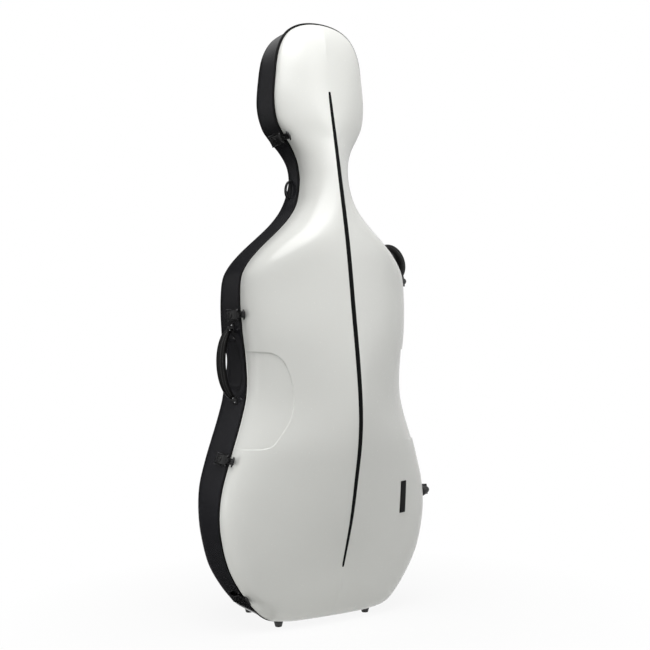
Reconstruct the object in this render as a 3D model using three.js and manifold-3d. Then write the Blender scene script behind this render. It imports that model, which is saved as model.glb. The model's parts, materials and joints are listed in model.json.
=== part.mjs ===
// A hard case for a cello, standing upright on its feet with the lid closed.
// X runs across the case, with the hinges on the +X side. Y is zero in the plane where lid and
// base meet, negative on the lid side and positive on the base side. Z is the height above the floor.
// At the end the whole case is moved so that its origin is under the middle of its bounding box.

import * as THREE from 'three';
import { mergeVertices } from 'three/addons/utils/BufferGeometryUtils.js';
import Module from 'manifold-3d';

const wasm = await Module();
wasm.setup();

// Overall sizes, in millimetres
const standHeight = 12;
const lowerBoutWidth = 514;
const waistWidth = 377;
const upperBoutWidth = 405;
const neckWidth = 106;
const headWidth = 227;
const lidDepth = 160;
const baseDepth = 182;

// The outline rises from its flat bottom through its widest and narrowest places to the top of the head
const lowerBoutRise = 245;
const waistRise = 285;
const upperBoutRise = 176;
const neckRise = 254;
const headRise = 178;
const lowerBoutHeight = standHeight + lowerBoutRise;
const waistHeight = lowerBoutHeight + waistRise;
const upperBoutHeight = waistHeight + upperBoutRise;
const neckHeight = upperBoutHeight + neckRise;
const headHeight = neckHeight + headRise;
// The surfaces gather along a spine in the middle of the case, which stops short of both ends
const spineFootGap = 98;
const spineAboveHead = 105;
const spineHeadGap = 75;
const spineBottom = standHeight + spineFootGap;
const spineTop = headHeight + spineAboveHead;
const caseHeight = spineTop + spineHeadGap;

// Between two of those places the outline follows these points: share of the rise, then share of the
// change in width
const bottomShares = [[0.002, 0.22], [0.012, 0.41], [0.054, 0.585], [0.194, 0.728], [0.5, 0.911],
  [0.79, 0.986]];
const lowerSideShares = [[0.175, 0.095], [0.35, 0.31], [0.7, 0.79], [0.853, 0.953]];
const waistSideShares = [[0.29, 0.21], [0.585, 0.66]];
const shoulderShares = [[0.185, 0.028], [0.283, 0.115], [0.391, 0.273], [0.677, 0.788], [0.821, 0.943]];
const neckSideShares = [[0.146, 0.018], [0.292, 0.115], [0.438, 0.32], [0.624, 0.684], [0.764, 0.895]];
const topShares = [[0.306, 0.031], [0.656, 0.127], [0.839, 0.285], [0.928, 0.466], [0.981, 0.7]];

// Share of the case height, then the share of the lid's or base's depth at the middle of the case there
const ridgeShares = [[0.09, 0.45], [0.18, 0.72], [0.256, 0.88], [0.301, 0.965], [0.353, 1], [0.421, 0.96],
  [0.519, 0.85], [0.624, 0.73], [0.752, 0.53], [0.88, 0.3], [0.95, 0.225]];
const backShares = [[0.075, 0.96], [0.19, 1], [0.36, 0.967], [0.54, 0.835], [0.645, 0.69], [0.7, 0.55],
  [0.735, 0.42], [0.775, 0.4], [0.805, 0.48], [0.865, 0.68], [0.925, 0.66], [0.95, 0.63]];
// Share of the case height, then the share of that depth that is the steep flank of the lid
const flankShares = [[0.09, 0.46], [0.18, 0.42], [0.25, 0.4], [0.3, 0.42], [0.353, 0.37], [0.41, 0.45],
  [0.48, 0.54], [0.57, 0.55], [0.63, 0.8], [0.68, 0.74], [0.72, 0.64], [0.76, 0.58], [0.8, 0.46],
  [0.84, 0.32], [0.9, 0.38], [0.95, 0.5]];
// Share of the case height, then the share of that depth that is the straight side wall of the base
const wallShares = [[0.075, 0.14], [0.15, 0.34], [0.25, 0.51], [0.36, 0.5], [0.54, 0.48], [0.645, 0.5],
  [0.73, 0.3], [0.8, 0.48], [0.865, 0.5], [0.95, 0.38]];
const lidSquareness = 3.4;
const baseSquareness = 3.2;
const bottomSquareness = 5;
const ridgeSoftShare = 0.06;

// Walls, linings and clearances
const shellThickness = 4;
const liningThickness = 8;
const clearance = 0.3;
const overrun = 30;
const rimHalfThickness = 2;
const rimLip = 1;
const tongueThickness = 3.6;
const tongueHeight = 6;
const liningSetback = 4;

// Grip hollows at the waist, a shallow step in the skins of lid and base on both sides
const gripDepth = 2;
const gripBelowWaist = 146;
const gripAboveWaist = 61;
const gripReach = 64.5;
const gripBottom = waistHeight - gripBelowWaist;
const gripTop = waistHeight + gripAboveWaist;
const gripInner = waistWidth / 2 - gripReach;
const gripShares = [[0.38, 0.985], [0.66, 0.92], [0.9, 0.745], [1, 0.56], [0.985, 0.42], [0.88, 0.3],
  [0.55, 0.13], [0.3, 0.03], [0, 0]];
const handHollowDepth = 6;
const handHollowBelowWaist = 25;
const handHollowAboveWaist = 95;
const handHollowBottom = waistHeight - handHollowBelowWaist;
const handHollowTop = waistHeight + handHollowAboveWaist;
const handHollowNear = 25;
const handHollowFar = 98;
const handHollowShares = [[0, 0.05], [0, 0.4], [0.08, 0.75], [0.16, 0.97], [0.4, 1], [0.75, 0.83], [1, 0.38],
  [0.78, 0.06], [0.6, 0]];

// Stripe along the ridge and bare plate on the lid
const stripeFootGap = 126;
const stripeHeadGap = 158;
const stripeBottom = standHeight + stripeFootGap;
const stripeTop = caseHeight - stripeHeadGap;
const stripeWidth = 7.5;
const stripeShares = [[0, 0], [0.04, 0.3], [0.2, 0.75], [0.45, 1], [0.75, 0.8], [0.96, 0.45], [1, 0.12]];
const inlayThickness = 0.6;
const plateWidth = 19;
const plateHeight = 72;
const plateInset = 97;
const plateAboveBout = 14;
const plateX = lowerBoutWidth / 2 - plateInset;
const plateZ = lowerBoutHeight + plateAboveBout;
const plateThickness = 1.2;

// Feet
const footInset = 145;
const footBackGap = 24;
const footSpread = lowerBoutWidth / 2 - footInset;
const frontFootDepth = 13;
const backFootDepth = baseDepth - footBackGap;
const footTopRadius = 10.5;
const footBottomRadius = 7.5;
const footRoot = 26;

// Latches on the side opposite the hinges: lever on the base, stud on the lid
const latchAboveFoot = 66;
const latchAboveLowerBout = 113;
const latchBelowUpperBout = 36;
const latchBelowHead = 76;
const latchHeights = {
  bottom: standHeight + latchAboveFoot,
  lower: lowerBoutHeight + latchAboveLowerBout,
  upper: upperBoutHeight - latchBelowUpperBout,
  neck: headHeight - latchBelowHead,
};
const latchWidth = 20;
const latchEarThickness = 2.6;
const latchPlateThickness = 2.4;
const latchPlateMargin = 1;
const latchPlateNear = 7;
const latchPlateLength = 50;
const latchPivotDepth = 48;
const latchPivotLift = 7.5;
const latchBarrelRadius = 4.6;
const latchPinRadius = 1.6;
const latchGripLift = 14.5;
const latchNoseLift = 7.5;
const latchNoseWidth = 13;
const latchThickness = 4;
const latchNoseReach = 27;
const latchTipLength = 3.5;
const latchTipWidth = 22;
const studDepth = 10.5;
const studLength = 7;
const studWidth = 5.6;
const studLift = 10;
const studFlangeLength = 11;
const studFlangeWidth = 12;
const studFlangeThickness = 1.4;
const loopGap = 1.3;

// Hinges on the +X side, both on one line that touches the lower and the upper bout
const hingeAboveLowerBout = 11;
const hingeAboveUpperBout = 39;
const hingeHeights = {
  lower: lowerBoutHeight + hingeAboveLowerBout,
  upper: upperBoutHeight + hingeAboveUpperBout,
};
const hingeOffset = 11;
const hingeLength = 24;
const hingeKnuckleRadius = 5.5;
const hingePinRadius = 2;
const hingeLeafThickness = 2.6;
const hingeLeafReach = 14;
const hingeLeafNear = 5;
const hingeDomeLift = 7;
const hingeDomeBevel = 2;
const hingeDomeLip = 3;

// Carry handles: one at the waist on the latch side, one on the shoulder on the hinge side
const waistHandleBelowWaist = 42;
const waistHandleAboveWaist = 110;
const shoulderHandleAboveBout = 27;
const shoulderHandleSpread = 81;
const waistHandle = {
  side: -1,
  low: waistHeight - waistHandleBelowWaist,
  high: waistHeight + waistHandleAboveWaist,
  depth: 45,
  lift: 9,
  rise: 23,
  fullness: 1.3,
};
const shoulderHandle = {
  side: 1,
  low: upperBoutHeight + shoulderHandleAboveBout,
  high: upperBoutHeight + shoulderHandleAboveBout + shoulderHandleSpread,
  depth: 30,
  lift: 13,
  rise: 51,
  fullness: 0.65,
};
const handlePinRadius = 2.6;
const handleBossRadius = 5.2;
const handleBossLength = 9;
const handleEarThickness = 6;
const handleFootReach = 13;
const handleFootLap = 5;
const handleBracketWidth = 16;
const handleFootThickness = 2.4;
const handleFootWidth = 18;
const gripThickness = 19;
const gripWidth = 22;
const gripEndShare = 0.45;
const gripSwellPower = 0.6;
const gripSteps = 12;

// Eyes for shoulder straps: one at each side of the neck, two low on the back
const eyeLength = 43;
const eyeLift = 12.5;
const eyeThickness = 7;
const eyeWall = 4.5;
const neckEyeBelowNeck = 9;
const neckEyeHeight = neckHeight - neckEyeBelowNeck;
const neckEyeDepth = 40;
const backEyeAboveBout = 73;
const backEyeInset = 137;
const backEyeHeight = lowerBoutHeight + backEyeAboveBout;
const backEyeX = lowerBoutWidth / 2 - backEyeInset;

// Padding inside the base
const padThickness = 24;
const padNear = 18;
const shoulderPadAboveBout = 77;
const shoulderPadHeight = 67;
const shoulderPadInset = 117.5;
const shoulderPadBottom = upperBoutHeight + shoulderPadAboveBout;
const shoulderPadTop = shoulderPadBottom + shoulderPadHeight;
const shoulderPadX = upperBoutWidth / 2 - shoulderPadInset;
const lowerPadAboveFoot = 50;
const lowerPadHeight = 88;
const lowerPadInset = 147;
const lowerPadBottom = standHeight + lowerPadAboveFoot;
const lowerPadTop = lowerPadBottom + lowerPadHeight;
const lowerPadX = lowerBoutWidth / 2 - lowerPadInset;
const cornerPadFar = 100;
const backPadFar = 60;
const upperRestBelowBout = 2;
const upperRestHeight = upperBoutHeight - upperRestBelowBout;
const upperRestWidth = 210;
const lowerRestBelowBout = 61;
const lowerRestHeight = lowerBoutHeight - lowerRestBelowBout;
const lowerRestWidth = 260;
const restLength = 60;
const endPadWidth = 120;
const endPadAboveFoot = 48;
const endPadTop = standHeight + endPadAboveFoot;
const cradleBelowNeck = 38;
const cradleAboveNeck = 18;
const cradleBottom = neckHeight - cradleBelowNeck;
const cradleTop = neckHeight + cradleAboveNeck;
const cradleNear = 14;
const cradleNotchWidth = 42;
const cradleNotchDepth = 26;
const strapThickness = 2.2;
const strapWidth = 30;
const strapRise = 16;
// Share of the notch's half width, then share of the rise, from a tab of the strap to its top
const strapShares = [[1.38, 0], [1, 0], [0.82, 0.6], [0.45, 1]];

// Bow holders inside the lid
const frogAboveBout = 79;
const frogHeight = lowerBoutHeight + frogAboveBout;
const frogX = 76;
const frogBlock = { sizeX: 34, sizeZ: 26, groove: 13 };
const bowBlockDepth = 15;
const bowGrooveDepth = 9;
const tipAboveNeck = 32;
const tipHeight = neckHeight + tipAboveNeck;
const tipX = 21;
const tipBlock = { sizeX: 20, sizeZ: 24, groove: 8 };
const clipLength = 30;
const clipWidth = 9;
const clipThickness = 2.4;
const clipPostRadius = 2.5;
const clipPostLength = 8;

// How finely the shells are divided
const outlineSteps = 42;
const shellLevels = 6;
const roundSteps = 12;
const curveSteps = 2520;
// Corners closer than this are one corner
const mergeDistance = 1e-4;

const mix = (from, to, share) => from + (to - from) * share;
const degrees = (angle) => THREE.MathUtils.degToRad(angle);

// A smooth curve through a table of shares, read as a function of height
function readCurve(shares, valueScale) {
  const heights = shares.map(([share]) => share * caseHeight);
  const values = shares.map(([, share]) => share * valueScale);
  const last = heights.length - 1;
  const slope = (i, j) => (values[j] - values[i]) / (heights[j] - heights[i]);
  const tangents = values.map((value, i) => slope(Math.max(i - 1, 0), Math.min(i + 1, last)));
  return (height) => {
    const clamped = THREE.MathUtils.clamp(height, heights[0], heights[last]);
    const next = Math.max(1, heights.findIndex((h) => h >= clamped));
    const span = heights[next] - heights[next - 1];
    const t = (clamped - heights[next - 1]) / span;
    const rise = (3 - 2 * t) * t * t;
    return mix(values[next - 1], values[next], rise)
      + span * t * (1 - t) * ((1 - t) * tangents[next - 1] - t * tangents[next]);
  };
}

const ridgeDepth = readCurve(ridgeShares, lidDepth);
const flankShare = readCurve(flankShares, 1);
const backDepth = readCurve(backShares, baseDepth);
const wallShare = readCurve(wallShares, 1);

// The outline in the plane where lid and base meet, from the middle of the bottom up the +X side to the top
function stretch(fromWidth, toWidth, fromHeight, toHeight, shares) {
  const points = [...shares, [1, 1]];
  return points.map(([rise, change]) => new THREE.Vector3(
    mix(fromWidth, toWidth, change) / 2, 0, mix(fromHeight, toHeight, rise)));
}

function makeOutline() {
  const half = [
    new THREE.Vector3(0, 0, standHeight),
    ...stretch(0, lowerBoutWidth, standHeight, lowerBoutHeight, bottomShares),
    ...stretch(lowerBoutWidth, waistWidth, lowerBoutHeight, waistHeight, lowerSideShares),
    ...stretch(waistWidth, upperBoutWidth, waistHeight, upperBoutHeight, waistSideShares),
    ...stretch(upperBoutWidth, neckWidth, upperBoutHeight, neckHeight, shoulderShares),
    ...stretch(neckWidth, headWidth, neckHeight, headHeight, neckSideShares),
    ...stretch(headWidth, 0, headHeight, caseHeight, topShares),
  ];
  const mirrored = half.slice(1, -1).reverse().map((p) => new THREE.Vector3(-p.x, 0, p.z));
  const curve = new THREE.CatmullRomCurve3([...half, ...mirrored], true, 'centripetal');
  curve.arcLengthDivisions = curveSteps;
  return curve;
}

// Each station holds a place on the outline, the direction out of the case there and its place on the spine
function makeStations(curve) {
  return Array.from({ length: outlineSteps + 1 }, (_, i) => {
    const along = i / (2 * outlineSteps);
    const atEnd = i === 0 || i === outlineSteps;
    const point = curve.getPointAt(along);
    const tangent = curve.getTangentAt(along);
    return {
      x: atEnd ? 0 : point.x,
      z: point.z,
      outX: atEnd ? 0 : tangent.z,
      outZ: atEnd ? Math.sign(i - 1) : -tangent.x,
      spine: spineHeight(point.x, point.z),
    };
  });
}

// Below the lower bout's widest place and above the head's, the spine places fan out with the angle
function spineHeight(x, z) {
  if (z < lowerBoutHeight) {
    const down = (lowerBoutHeight - z) / (lowerBoutHeight - standHeight);
    const turn = Math.atan2(down, x / (lowerBoutWidth / 2)) / degrees(90);
    return mix(lowerBoutHeight, spineBottom, turn);
  }
  if (z > headHeight) {
    const up = (z - headHeight) / (caseHeight - headHeight);
    const turn = Math.atan2(up, x / (headWidth / 2)) / degrees(90);
    return mix(headHeight, spineTop, turn);
  }
  return z;
}

const outline = makeOutline();
const stations = makeStations(outline);

// A point of a lid surface at a station, an inset under the outer surface and an angle that grows from
// the rim to the spine
function lidPoint(station, inset, angle) {
  const out = Math.sin(degrees(90) - angle) ** (2 / lidSquareness);
  const rise = Math.sin(angle) ** (2 / lidSquareness);
  const depth = ridgeDepth(station.spine) - rimHalfThickness;
  const flank = depth * flankShare(station.spine);
  const soft = (share) => Math.hypot(share, ridgeSoftShare) - ridgeSoftShare;
  const roof = (depth - flank) * (1 - soft(out) / soft(1));
  const y = -rimHalfThickness - Math.max(flank - inset, 0) * rise - roof;
  return spread(station, inset, out, y);
}

// The same for the base, where a straight wall comes before the rounded back
function basePoint(station, inset, angle) {
  const facingDown = Math.max(-station.outZ, 0);
  const squareness = baseSquareness + bottomSquareness * facingDown ** 2;
  const out = Math.sin(degrees(90) - angle) ** (2 / squareness);
  const rise = Math.sin(angle) ** (2 / squareness);
  const depth = backDepth(station.spine);
  const wall = depth * wallShare(station.spine);
  const y = wall + (depth - wall - inset) * rise;
  return spread(station, inset, out, y);
}

function spread(station, inset, out, y) {
  const x = (station.x - station.outX * inset) * out;
  const z = mix(station.spine, station.z - station.outZ * inset, out);
  return new THREE.Vector3(x, y, z);
}

const outlineRow = (inset, y) => stations.map((station) => spread(station, inset, 1, y));

// The rows of points of one surface, from its edge at the rim to the spine
function lidRows(inset) {
  const rows = [outlineRow(inset, -rimHalfThickness)];
  for (let level = 1; level <= shellLevels; level += 1) {
    const angle = degrees(90) * level / shellLevels;
    rows.push(stations.map((station) => lidPoint(station, inset, angle)));
  }
  return rows;
}

function baseRows(inset) {
  const rows = [outlineRow(inset, rimHalfThickness)];
  for (let level = 0; level <= shellLevels; level += 1) {
    const angle = degrees(90) * level / shellLevels;
    rows.push(stations.map((station) => basePoint(station, inset, angle)));
  }
  return rows;
}

// Triangles between two rows on both sides of the case; flip turns them to face the other way
function addBand(triangles, near, far, flip) {
  for (const side of [1, -1]) {
    const place = (p) => [side * p.x, p.y, p.z];
    for (let i = 0; i < outlineSteps; i += 1) {
      const corners = [near[i], near[i + 1], far[i + 1], far[i]].map(place);
      const order = (side > 0) === flip ? [0, 1, 2, 0, 2, 3] : [0, 2, 1, 0, 3, 2];
      triangles.push(...order.flatMap((index) => corners[index]));
    }
  }
}

function addSurface(triangles, rows, flip) {
  for (let row = 1; row < rows.length; row += 1) {
    addBand(triangles, rows[row - 1], rows[row], flip);
  }
}

// A closed body from loose triangles, turned so that its faces point outwards
function bodyFrom(positions) {
  const geometry = new THREE.BufferGeometry();
  geometry.setAttribute('position', new THREE.Float32BufferAttribute(positions, 3));
  return toSolid(geometry);
}

function toSolid(geometry, matrix = new THREE.Matrix4()) {
  const bare = geometry.clone().applyMatrix4(matrix);
  bare.deleteAttribute('normal');
  bare.deleteAttribute('uv');
  const merged = mergeVertices(bare, mergeDistance);
  const vertices = merged.attributes.position.array;
  const index = [];
  for (let i = 0; i < merged.index.count; i += 3) {
    const [a, b, c] = [0, 1, 2].map((k) => merged.index.getX(i + k));
    if (a !== b && b !== c && c !== a) {
      index.push(a, b, c);
    }
  }
  const triVerts = new Uint32Array(signedVolume(vertices, index) < 0 ? index.reverse() : index);
  const solid = new wasm.Manifold(new wasm.Mesh({ numProp: 3, vertProperties: vertices, triVerts }));
  if (solid.status() !== 'NoError') {
    throw new Error(`open or crossing surface: ${solid.status()}`);
  }
  return solid;
}

function signedVolume(vertices, index) {
  const corner = (i) => new THREE.Vector3().fromArray(vertices, 3 * index[i]);
  let total = 0;
  for (let i = 0; i < index.length; i += 3) {
    total += corner(i).dot(corner(i + 1).cross(corner(i + 2)));
  }
  return total;
}

function toGeometry(solid) {
  const mesh = solid.getMesh();
  const geometry = new THREE.BufferGeometry();
  const positions = [];
  for (const vertex of mesh.triVerts) {
    positions.push(...mesh.vertProperties.slice(mesh.numProp * vertex, mesh.numProp * vertex + 3));
  }
  geometry.setAttribute('position', new THREE.Float32BufferAttribute(positions, 3));
  geometry.computeVertexNormals();
  return geometry;
}

const join = (...solids) => solids.reduce((whole, solid) => whole.add(solid));
const cut = (solid, ...tools) => tools.reduce((left, tool) => left.subtract(tool), solid);
const common = (...solids) => solids.reduce((left, solid) => left.intersect(solid));

// A hollow shell between two surfaces that meet at the rim
function hollow(outer, inner) {
  const triangles = [];
  addSurface(triangles, outer, true);
  addSurface(triangles, inner, false);
  addBand(triangles, inner[0], outer[0], true);
  return bodyFrom(triangles);
}

// Everything inside one surface, closed flat across its edge
function filled(rows) {
  const triangles = [];
  addSurface(triangles, rows, true);
  const middle = rows[0].map((p) => new THREE.Vector3(0, p.y, p.z));
  addBand(triangles, middle, rows[0], true);
  return bodyFrom(triangles);
}

// A ring that follows the outline between two insets and two depths
function outlineRing(outerInset, innerInset, near, far) {
  const corners = [
    outlineRow(outerInset, near), outlineRow(outerInset, far),
    outlineRow(innerInset, far), outlineRow(innerInset, near)];
  const triangles = [];
  corners.forEach((corner, i) => addBand(triangles, corner, corners[(i + 1) % corners.length], true));
  return bodyFrom(triangles);
}

// Everything inside the lid or the base at an inset, reaching across the rim
const lidInside = (inset) => filled([outlineRow(inset, rimHalfThickness), ...lidRows(inset)]);
const baseInside = (inset) => filled([outlineRow(inset, -rimHalfThickness), ...baseRows(inset)]);
// A layer of the given thickness that lies on the outside of the lid or the base
const lidLayer = (thickness) => cut(lidInside(-clearance - thickness), lidEnvelope);
const baseLayer = (thickness) => cut(baseInside(-clearance - thickness), baseEnvelope);

const bulgeInset = handHollowDepth + shellThickness;
const liningInset = shellThickness + clearance;
const roomInset = liningInset + liningThickness;
const liningEdge = rimHalfThickness + tongueHeight + liningSetback;
const lidEnvelope = lidInside(-clearance);
const baseEnvelope = baseInside(-clearance);
const lidRoom = lidInside(roomInset + clearance);
const baseRoom = baseInside(roomInset + clearance);

// Simple shapes by their limits on each axis
function block([x0, x1], [y0, y1], [z0, z1]) {
  return toSolid(new THREE.BoxGeometry(x1 - x0, y1 - y0, z1 - z0)
    .translate((x0 + x1) / 2, (y0 + y1) / 2, (z0 + z1) / 2));
}

const around = (middle, size) => [middle - size / 2, middle + size / 2];

// A profile drawn in X and Y and drawn out along Z between two heights
function prism(points, [z0, z1]) {
  const shape = new THREE.Shape(points.map(([x, y]) => new THREE.Vector2(x, y)));
  return toSolid(new THREE.ExtrudeGeometry(shape, { depth: z1 - z0, bevelEnabled: false })
    .translate(0, 0, z0));
}

// A round rod along Z
function rod(radius, [z0, z1], x = 0, y = 0) {
  return toSolid(new THREE.CylinderGeometry(radius, radius, z1 - z0, roundSteps)
    .rotateX(degrees(90))
    .translate(x, y, (z0 + z1) / 2));
}

const moved = (solid, matrix) => toSolid(toGeometry(solid), matrix);

// Bases that turn what was drawn along Z to lie along X, or along Y from a profile in X and Z
const [unitX, unitY, unitZ] = [[1, 0, 0], [0, 1, 0], [0, 0, 1]].map((v) => new THREE.Vector3(...v));
const alongX = new THREE.Matrix4().makeBasis(unitY, unitZ, unitX);
const alongY = new THREE.Matrix4().makeBasis(unitX, unitZ, unitY.clone().negate());

// A profile drawn in X and Z and drawn out along Y
const panel = (points, [y0, y1]) => moved(prism(points, [-y1, -y0]), alongY);

// Half width of the case at a height, and the way out of the case there
function wallPlace(height, side) {
  const next = stations.findIndex((station, i) => i > 0 && station.z >= height);
  const [low, high] = [stations[next - 1], stations[next]];
  const share = (height - low.z) / (high.z - low.z);
  const outward = new THREE.Vector3(
    side * mix(low.outX, high.outX, share), 0, mix(low.outZ, high.outZ, share));
  return makePlace(new THREE.Vector3(side * mix(low.x, high.x, share), 0, height), outward);
}

// A place whose local X points out of the case, local Y along Y and local Z along the wall
function makePlace(origin, outward) {
  const out = outward.clone().normalize();
  const back = new THREE.Vector3(0, 1, 0);
  const along = out.clone().cross(back);
  const matrix = new THREE.Matrix4().makeBasis(out, back, along).setPosition(origin);
  return { origin, out, back, along, matrix };
}

// The line that touches the lower and the upper bout, moved out by an offset: the hinge axis
function hingePlace(height, offset) {
  let slope = 0;
  let lower = stations[0];
  let upper = stations[0];
  for (let pass = 0; pass < 6; pass += 1) {
    const reach = (station) => station.x + slope * station.z;
    const furthest = (list) => list.reduce((best, next) => (reach(next) > reach(best) ? next : best));
    lower = furthest(stations.filter((station) => station.z < waistHeight));
    upper = furthest(stations.filter((station) => station.z >= waistHeight));
    slope = (lower.x - upper.x) / (upper.z - lower.z);
  }
  const place = makePlace(new THREE.Vector3(), new THREE.Vector3(1, 0, slope));
  const origin = new THREE.Vector3(lower.x - slope * (height - lower.z), 0, height);
  return makePlace(origin.addScaledVector(place.out, offset), place.out);
}

const finishes = {
  lidPaint: { color: 0xf4f5f6, roughness: 0.16, metalness: 0 },
  basePaint: { color: 0x17181a, roughness: 0.18, metalness: 0 },
  inlay: { color: 0x0b0b0c, roughness: 0.3, metalness: 0 },
  blackPlastic: { color: 0x141516, roughness: 0.42, metalness: 0 },
  rubber: { color: 0x1b1b1c, roughness: 0.75, metalness: 0 },
  grip: { color: 0x1d1e20, roughness: 0.6, metalness: 0 },
  steel: { color: 0xb9bcc0, roughness: 0.28, metalness: 1 },
  plush: { color: 0x4d5157, roughness: 0.95, metalness: 0 },
  cushion: { color: 0x33363b, roughness: 0.9, metalness: 0 },
  webbing: { color: 0x1a1a1c, roughness: 0.85, metalness: 0 },
};

const caseModel = new THREE.Group();

function add(name, solid, finish) {
  const mesh = new THREE.Mesh(toGeometry(solid), new THREE.MeshStandardMaterial(finishes[finish]));
  mesh.name = name;
  caseModel.add(mesh);
}

// Skin taken off a shell inside a patch, down to the grip depth under the outer surface
function gripPatch(side) {
  const points = gripShares.map(([inward, up]) => [
    side * mix(waistWidth / 2, gripInner, inward), mix(gripBottom, gripTop, up)]);
  const far = side * lowerBoutWidth / 2;
  return [[far, gripTop], ...points, [far, gripBottom]];
}

function makeLidShell() {
  const shell = hollow(lidRows(0), lidRows(shellThickness));
  const kept = lidInside(gripDepth);
  const hollows = [-1, 1].map((side) => cut(panel(gripPatch(side), [-lidDepth, overrun]), kept));
  add('lid_shell', cut(shell, ...hollows), 'lidPaint');
}

// Everything beside the hand hollows in the side walls of the base, grown by a margin
function handPatch(margin) {
  const points = handHollowShares.map(([back, up]) => [
    mix(handHollowNear - margin, handHollowFar + margin, back),
    mix(handHollowBottom - margin, handHollowTop + margin, up)]);
  return moved(prism(points, around(0, 2 * lowerBoutWidth)), alongX);
}

// The base shell, with a dent behind the handle on both sides and the wall bulging inwards behind it
function makeBaseShell() {
  const shell = hollow(baseRows(0), baseRows(shellThickness));
  const swollen = common(handPatch(shellThickness), baseInside(shellThickness / 2));
  const bulge = cut(swollen, baseInside(bulgeInset));
  const dent = cut(handPatch(0), baseInside(handHollowDepth));
  add('base_shell', cut(join(shell, bulge), dent), 'basePaint');
}

// Padded linings inside both shells, set back from the rim
function makeLinings() {
  const setback = block(around(0, 2 * lowerBoutWidth), around(0, 2 * liningEdge), [0, 2 * caseHeight]);
  const lidLining = hollow(lidRows(liningInset), lidRows(roomInset));
  const baseLining = hollow(baseRows(liningInset), baseRows(roomInset));
  const dents = cut(handPatch(shellThickness + clearance), baseInside(bulgeInset + clearance));
  add('lid_lining', cut(lidLining, setback), 'plush');
  add('base_lining', cut(baseLining, setback, dents), 'plush');
}

// The rim: a flat flange between the shells with a tongue that stands inside both of them
function makeRim() {
  const flangeHalf = rimHalfThickness - clearance;
  const tongueInner = liningInset + tongueThickness;
  const tongueHalf = rimHalfThickness + tongueHeight;
  const flange = outlineRing(-rimLip, tongueInner, -flangeHalf, flangeHalf);
  const tongue = outlineRing(liningInset, tongueInner, -tongueHalf, tongueHalf);
  const inside = join(lidInside(liningInset), baseInside(liningInset));
  add('rim_frame', join(flange, common(tongue, inside)), 'blackPlastic');
}

function makeStripe() {
  const side = (sign) => stripeShares.map(([up, share]) => [
    sign * share * stripeWidth / 2, mix(stripeBottom, stripeTop, up)]);
  const outlinePoints = [...side(1), ...side(-1).reverse().slice(0, -1)];
  const patch = panel(outlinePoints, [-2 * lidDepth, 0]);
  add('lid_stripe', common(lidLayer(inlayThickness), patch), 'inlay');
}

function makePlate() {
  const patch = block(around(plateX, plateWidth), [-lidDepth, 0], around(plateZ, plateHeight));
  add('lid_plate', common(lidLayer(plateThickness), patch), 'inlay');
}

function makeFeet() {
  for (const [row, depth] of [['front', frontFootDepth], ['back', backFootDepth]]) {
    for (const [name, side] of [['left', -1], ['right', 1]]) {
      const profile = [[0, 0], [footBottomRadius, 0], [footTopRadius, standHeight],
        [footTopRadius, standHeight + footRoot], [0, standHeight + footRoot]];
      const foot = toSolid(new THREE.LatheGeometry(profile.map((p) => new THREE.Vector2(...p)), roundSteps)
        .rotateX(degrees(90))
        .translate(side * footSpread, depth, 0));
      add(`foot_${row}_${name}`, cut(foot, baseEnvelope), 'rubber');
    }
  }
}

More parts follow.
